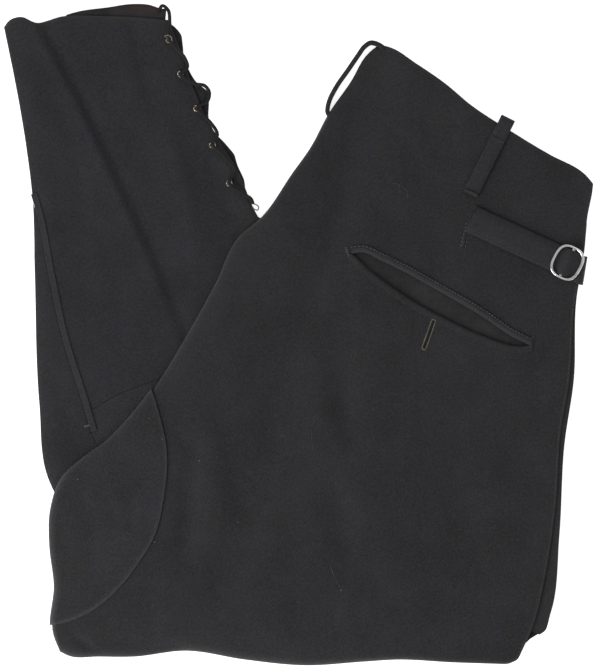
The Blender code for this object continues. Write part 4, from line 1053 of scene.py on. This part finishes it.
def calf_pieces():
    """The calf's panels either side of its seam, the patch's lower end, and the lapped seam."""
    skin = calf_skin()
    seam, knee = Curve(CALF_SEAM_LINE + CALF_SEAM_HIDDEN), Curve(KNEE_SEAM_LINE)
    gap = SEAM / 2
    far_corners = [(-150, -200), (-300, -200), (-300, 112)]
    near_corners = [(-150, -200), (60, -200), (60, 300), (-300, 300), (-300, 112)]
    below_knee = [(0, 20), (0, -200), (-178, -200)]
    front, back, patch = (
        cut_piece(f"{name}_cloth", skin, -CALF_CLOTH, 0, np.vstack([line, corners]), finish, slot)
        for name, line, corners, finish, slot in (
            ("calf_front_panel", seam.moved(-gap), far_corners, CALF_WOOL, "calf_wool"),
            ("calf_back_panel", seam.moved(gap), near_corners, CALF_WOOL, "calf_wool"),
            ("knee_patch_under", knee.moved(-gap), below_knee, PATCH_WOOL, "patch_wool")))
    combine(back, prism(np.vstack([knee.moved(gap), below_knee])), "DIFFERENCE")
    combine(patch, prism(np.vstack([seam.moved(gap), far_corners])), "DIFFERENCE")
    for piece, node, flat, area in (
            (front, "calf_front_panel", (0.046, 0.25), 0.0054),
            (back, "calf_back_panel", (0.20, 0.37), 0.0430),
            (patch, "knee_patch_under", (0.08, 0.08), 0.0024)):
        points = points_of(piece)
        edge, side = edge_distance(points, HEM_EDGE, LACED_EDGE), edge_distance(points, CALF_SIDE)
        # Paler in a narrow band of wear along the hem and laced edges, and in a wide band along the calf's
        # side that is painted highlight on the side facing the light.
        store_wear_and_highlight(piece, 0.4 * bell(edge, 1.8) + 0.10 * bell(side, 12))
        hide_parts(node)
    lap = sewn_strip("calf_seam_cloth", CALF_SEAM_LINE, rounded_profile(0.2, 5.4, 0.9), calf_height,
                     CALF_WOOL, "calf_wool", 110)
    # The lap painted paler all over, most along its outer edge: painted highlight, with some wear from
    # rubbing.
    store_wear_and_highlight(lap, 0.12 + 0.40 * bell(side_distance(points_of(lap), CALF_SEAM_LINE) - 4.2, 1.3))
    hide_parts("calf_seam")
    for name, line, offset, lift in (("calf", CALF_SEAM_LINE, 1.4, 0.95), ("knee", KNEE_SEAM_LINE, 1.8, 0.1)):
        stitches(f"{name}_seam_stitches", line, offset, calf_height, DARK_THREAD, "calf_wool",
                 3.2, 0.6, 0.2, lift)
    bar_tack("calf_seam_tack", (-171, -73.6), (-167, -72.6), 1.8, calf_height, LIGHT_THREAD, "calf_wool", 1.3)


def hem():
    """The inside of the far layer, past the hem."""
    line = CALF.top.spaced(300)
    line = line[(line[:, 0] > -186) & (line[:, 0] < -106)]
    out = left_of(line)
    width = edge_distance(line, FAR_HEM_EDGE)[:, None]
    top = calf_height(line)[:, None] - CALF_CLOTH - SEAM
    profile = [
        (0.0, -2.7, 0), (0.12, 0, 0.7), (0.75, 0, 1.0), (1, -0.5, 0.7), (1, 0, 0.2),
        (1, 0, -CALF_CLOTH + 0.4), (1, -0.5, -CALF_CLOTH), (0.0, -2.7, -CALF_CLOTH)]
    rows = [np.hstack([line + out * (width * share + shift), top + drop]) for share, shift, drop in profile]
    facing = tube("hem_facing_cloth", rows, FACING_COTTON, "facing_cotton")
    points = points_of(facing)
    past_hem = smooth_step((side_distance(points, HEM_EDGE) - 2) / 3)
    store_wear_and_highlight(facing, 0.26 * smooth_step((points[:, 0] + 146) / 18) * past_hem)
    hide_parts("hem_facing")


def eyelet(number, x, y):
    """A metal ring on the cloth, its lacquer gone in places, and the dark hole in it."""
    angles = turns(28)
    half_width = EYELET_RADIUS + EYELET_WIRE
    level = highest(calf_height, np.array([x, y]), np.array([half_width, 0])) + SEAM + EYELET_WIRE
    random = np.random.default_rng(number)
    rows = []
    for turn in turns(10):
        radius = EYELET_RADIUS + EYELET_RIM * math.cos(turn) + random.uniform(-0.06, 0.06, 28)
        height = level + EYELET_WIRE * math.sin(turn) + 0.08 * np.sin(5 * angles)
        rows.append(np.stack([x + radius * np.cos(angles), y + radius * np.sin(angles), height], -1))
    ring = tube(f"eyelet_{number}_ring", rows, EYELET_BRASS, "eyelet_metal", True)
    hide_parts(f"eyelet_{number}")
    cloth = calf_height(np.array([[x, y]]))[0]
    circle = np.stack([np.cos(angles), np.sin(angles), np.zeros(28)], -1)
    disc = [(x, y, cloth + height) + radius * circle
            for radius, height in ((1.5, 0.05), (0.7, 0.12), (0.05, 0.12))]
    disc += [disc[-1] - (0, 0, 0.3), disc[0] - (0, 0, 0.3)]
    tube(f"eyelet_{number}_hole", disc, HOLE_SHADOW, "calf_wool", True)


def lacing():
    for number, place in enumerate(EYELET_PLACES, 1):
        eyelet(number, *place)
    route = Curve(LACE_ROUTE).spaced(190)
    lace = curve_object("lace_cord", route, LACE_RADIUS, LACE_COTTON)
    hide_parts("lace")
    end, frayed = (
        curve_object(name, Curve(places).spaced(40), radius, TAN_THREAD)
        for name, places, radius in (("lace_end", LACE_END_LOOP, 0.5), ("lace_frayed", FRAYED_LOOP, 0.45)))


def curve_object(name, route, radius, finish):
    curve = bpy.data.curves.new(name, "CURVE")
    curve.dimensions = "3D"
    curve.bevel_depth = radius * MILLIMETRE
    curve.bevel_resolution = 3
    curve.use_fill_caps = True
    spline = curve.splines.new("POLY")
    spline.points.add(len(route) - 1)
    for point, place in zip(spline.points, route):
        point.co = (*(place * MILLIMETRE), 1)
    curve.materials.append(finish)
    built = bpy.data.objects.new(name, curve)
    bpy.context.scene.collection.objects.link(built)
    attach(built, "root")
    return built


# Layers under the edges, and what lies loose on the cloth

def layer_rolls(prefix, line, tops, out, finish, slot, seed, wander=1.0, pucker=0.0):
    """The edges of the cloths under an edge, each a rounded strip a little out of line.
    A puckered one rises where it stands out past the edge."""
    random = np.random.default_rng(seed)
    away = left_of(line)
    run = np.linspace(0, 1, len(line))
    for number, top in enumerate(tops, 1):
        phases, sizes = random.uniform(0, 2 * math.pi, 4), random.uniform(0.08, 0.3, 4)
        stray = wander * sum(size * np.sin(2 * math.pi * (place + 2) * run + phase)
                             for place, (size, phase) in enumerate(zip(sizes, phases)))[:, None]
        reach = np.reshape(out, (-1, 1)) + stray
        level = top[:, None] + stray * 0.25
        rise = pucker * smooth_step((reach - 0.8) / 2.5)
        inner, middle = np.minimum(reach, 0) - 4.5, np.minimum(reach - 0.9, 0.35)
        profile = [(inner, 0, 0), (middle, 0, 0.8), (reach - 0.9, 0, 1), (reach - 0.25, 0.2, 1),
                   (reach, 0.5, 1), (reach - 0.25, 0.8, 1), (reach - 0.9, 1, 1), (middle, 1, 0.8),
                   (inner, 1, 0)]
        rows = [np.hstack([line + away * distance, level - LAYER_CLOTH * depth + rise * share])
                for distance, depth, share in profile]
        tube(f"{prefix}_layer_{number}", rows, finish, slot)


def hidden_layers():
    """The solid's own rounded core, drawn in a little under the cloth on show."""
    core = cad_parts["hidden_layers"]
    inside = bpy.data.objects.new("hidden_layers_cloth", core.data.copy())
    bpy.context.scene.collection.objects.link(inside)
    set_points(inside, points_of(inside) - 0.8 * normals_of(inside))
    inside.data.materials.clear()
    inside.data.materials.append(THIGH_WOOL)
    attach(inside, "root")
    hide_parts("hidden_layers")


def edge_layers():
    waist = THIGH.top.spaced(120, 0.02, 0.985)
    top = thigh_height(waist) - CLOTH
    layer_rolls("waist", waist, [top * 0.98, top * 0.66, top * 0.34], -0.5, THIGH_WOOL, "wool", 11)
    seam = THIGH.right.spaced(160, 0.13, 0.97)
    under = (thigh_height(seam) - 2 * CLOTH - SEAM) * 0.97
    out = edge_distance(seam, FRONT_EDGE) * ((seam[:, 1] < 96) & (seam[:, 1] > -244)) - 1.0
    layer_rolls("outseam", seam, [under, under * 0.52], out, THIGH_WOOL, "wool", 12)
    side = CALF.left.spaced(140, 0.02, 0.93)[::-1]
    top = calf_height(side) - CALF_CLOTH
    layer_rolls("calf_side", side, [top * 0.97, top * 0.64, top * 0.32], -0.7, CALF_WOOL, "calf_wool", 13)
    laced = CALF.right.spaced(120, 0.02, 0.93)
    top = calf_height(laced) - CALF_CLOTH
    layer_rolls("laced", laced, [top * 0.97, top * 0.3], -0.7, CALF_WOOL, "calf_wool", 14)
    out = np.maximum(-side_distance(laced, FAR_LACED_EDGE), 0)
    layer_rolls("puckered", laced, [top * 0.68], out, CALF_WOOL, "calf_wool", 16, wander=0.5, pucker=2.8)
    hem_line = CALF.top.spaced(120, 0.04, 0.97)
    under = (calf_height(hem_line) - 2 * CALF_CLOTH - SEAM) * 0.95
    out = edge_distance(hem_line, FAR_HEM_EDGE) * ((hem_line[:, 0] > -190) & (hem_line[:, 0] < -106)) - 1.0
    layer_rolls("hem", hem_line, [under, under * 0.5], out, CALF_WOOL, "calf_wool", 15)


LINT_PLACES = [  # x, y, size, and height above the thigh, which on the patch is the patch's own
    (-119, -67, 0.5, 2.1), (-108.5, -83.5, 0.4, 2.0), (-176, -115.6, 0.5, 2.1), (-79, -101, 0.5, 0.2),
    (-114.5, -166, 0.45, 1.9), (34.5, -204.5, 0.7, 0.2), (81, 119, 0.35, 0.2), (136, 96, 0.35, 0.2),
    (-48, -150, 0.3, 0.2), (60, -60, 0.3, 0.2), (150, -120, 0.3, 0.2)]
LOOSE_THREADS = [
    [(25.6, -184.5), (29, -193), (34.5, -204.5)],
    [(13.6, -64.5), (11, -76), (12, -92.8)],
    [(76, 121), (82, 119.6), (87, 115), (88, 109)],
]


def lint():
    random = np.random.default_rng(21)
    x, y, size, height = np.array(LINT_PLACES).T
    angles = random.uniform(0, math.pi, len(x))
    points = np.stack([x, y], -1)
    steps = np.stack([np.cos(angles), np.sin(angles)], -1) * size[:, None]
    above = height[:, None] * (0, 0, 1)
    starts, ends = (laid(points + side * steps, thigh_height, 0) + above for side in (-1, 1))
    capsules("lint", starts, ends, 0.34, TAN_THREAD, "wool")
    for number, places in enumerate(LOOSE_THREADS, 1):
        route = laid(Curve(places).spaced(30), thigh_height, 0.16)
        curve_object(f"loose_thread_{number}", route, 0.11, LIGHT_THREAD)


# Surface, light and camera

def studio():
    """White paper that the garment lies on, soft light from the lower left, and a faint fill."""
    finish = Finish("paper", 0.9, **{"Emission Color": (1.0, 1.0, 1.0, 1.0), "Emission Strength": 0.8})
    grain = finish.noise(300, 2, 0.5)
    white = finish.mixed(grain, (0.90, 0.90, 0.90), (0.92, 0.92, 0.92))
    paper = finish.paint(white, None, grain, 0.0001, 0.2)
    corners = [(4000 * x, 4000 * y, -0.3) for x, y in ((-1, -1), (1, -1), (1, 1), (-1, 1))]
    floor = mesh_object("floor", corners, [(0, 1, 2, 3)], paper)
    world = bpy.data.worlds.new("studio")
    bpy.context.scene.world = world
    world.use_nodes = True
    background = world.node_tree.nodes["Background"].inputs
    background["Color"].default_value = (1.0, 1.0, 1.0, 1.0)
    background["Strength"].default_value = 0.48
    for name, place, size, power in (
            ("key", (-1.7, -1.3, 1.35), 1.8, 56.0), ("fill", (1.4, 1.5, 2.4), 1.6, 5.0)):
        lamp = bpy.data.lights.new(name, "AREA")
        lamp.energy, lamp.size = power, size
        holder = bpy.data.objects.new(name, lamp)
        holder.location = place
        holder.rotation_euler = (-holder.location).to_track_quat("-Z", "Y").to_euler()
        bpy.context.scene.collection.objects.link(holder)
    bpy.context.scene.view_settings.view_transform = "Standard"


def camera():
    """Straight down from five metres, at a scale of 0.8 mm a pixel where the cloth lies."""
    distance, level, scale = 5.0, 0.013, 0.0008
    lens = bpy.data.cameras.new("camera")
    lens.sensor_width = 36.0
    lens.lens = lens.sensor_width * distance / (PICTURE_HEIGHT * scale)
    holder = bpy.data.objects.new("camera", lens)
    across, up = (PICTURE_WIDTH / 2 - 298) * scale, (334.5 - PICTURE_HEIGHT / 2) * scale
    holder.location = (across, up, distance + level)
    bpy.context.scene.collection.objects.link(holder)
    bpy.context.scene.camera = holder


camera()
lacing()
hidden_layers()
edge_layers()
thigh = thigh_pieces()
pocket(thigh)
buttonhole()
outseam()
knee_patch()
dart()
side_loop()
back_loop()
strap_and_slide()
calf_pieces()
hem()
lint()
studio()
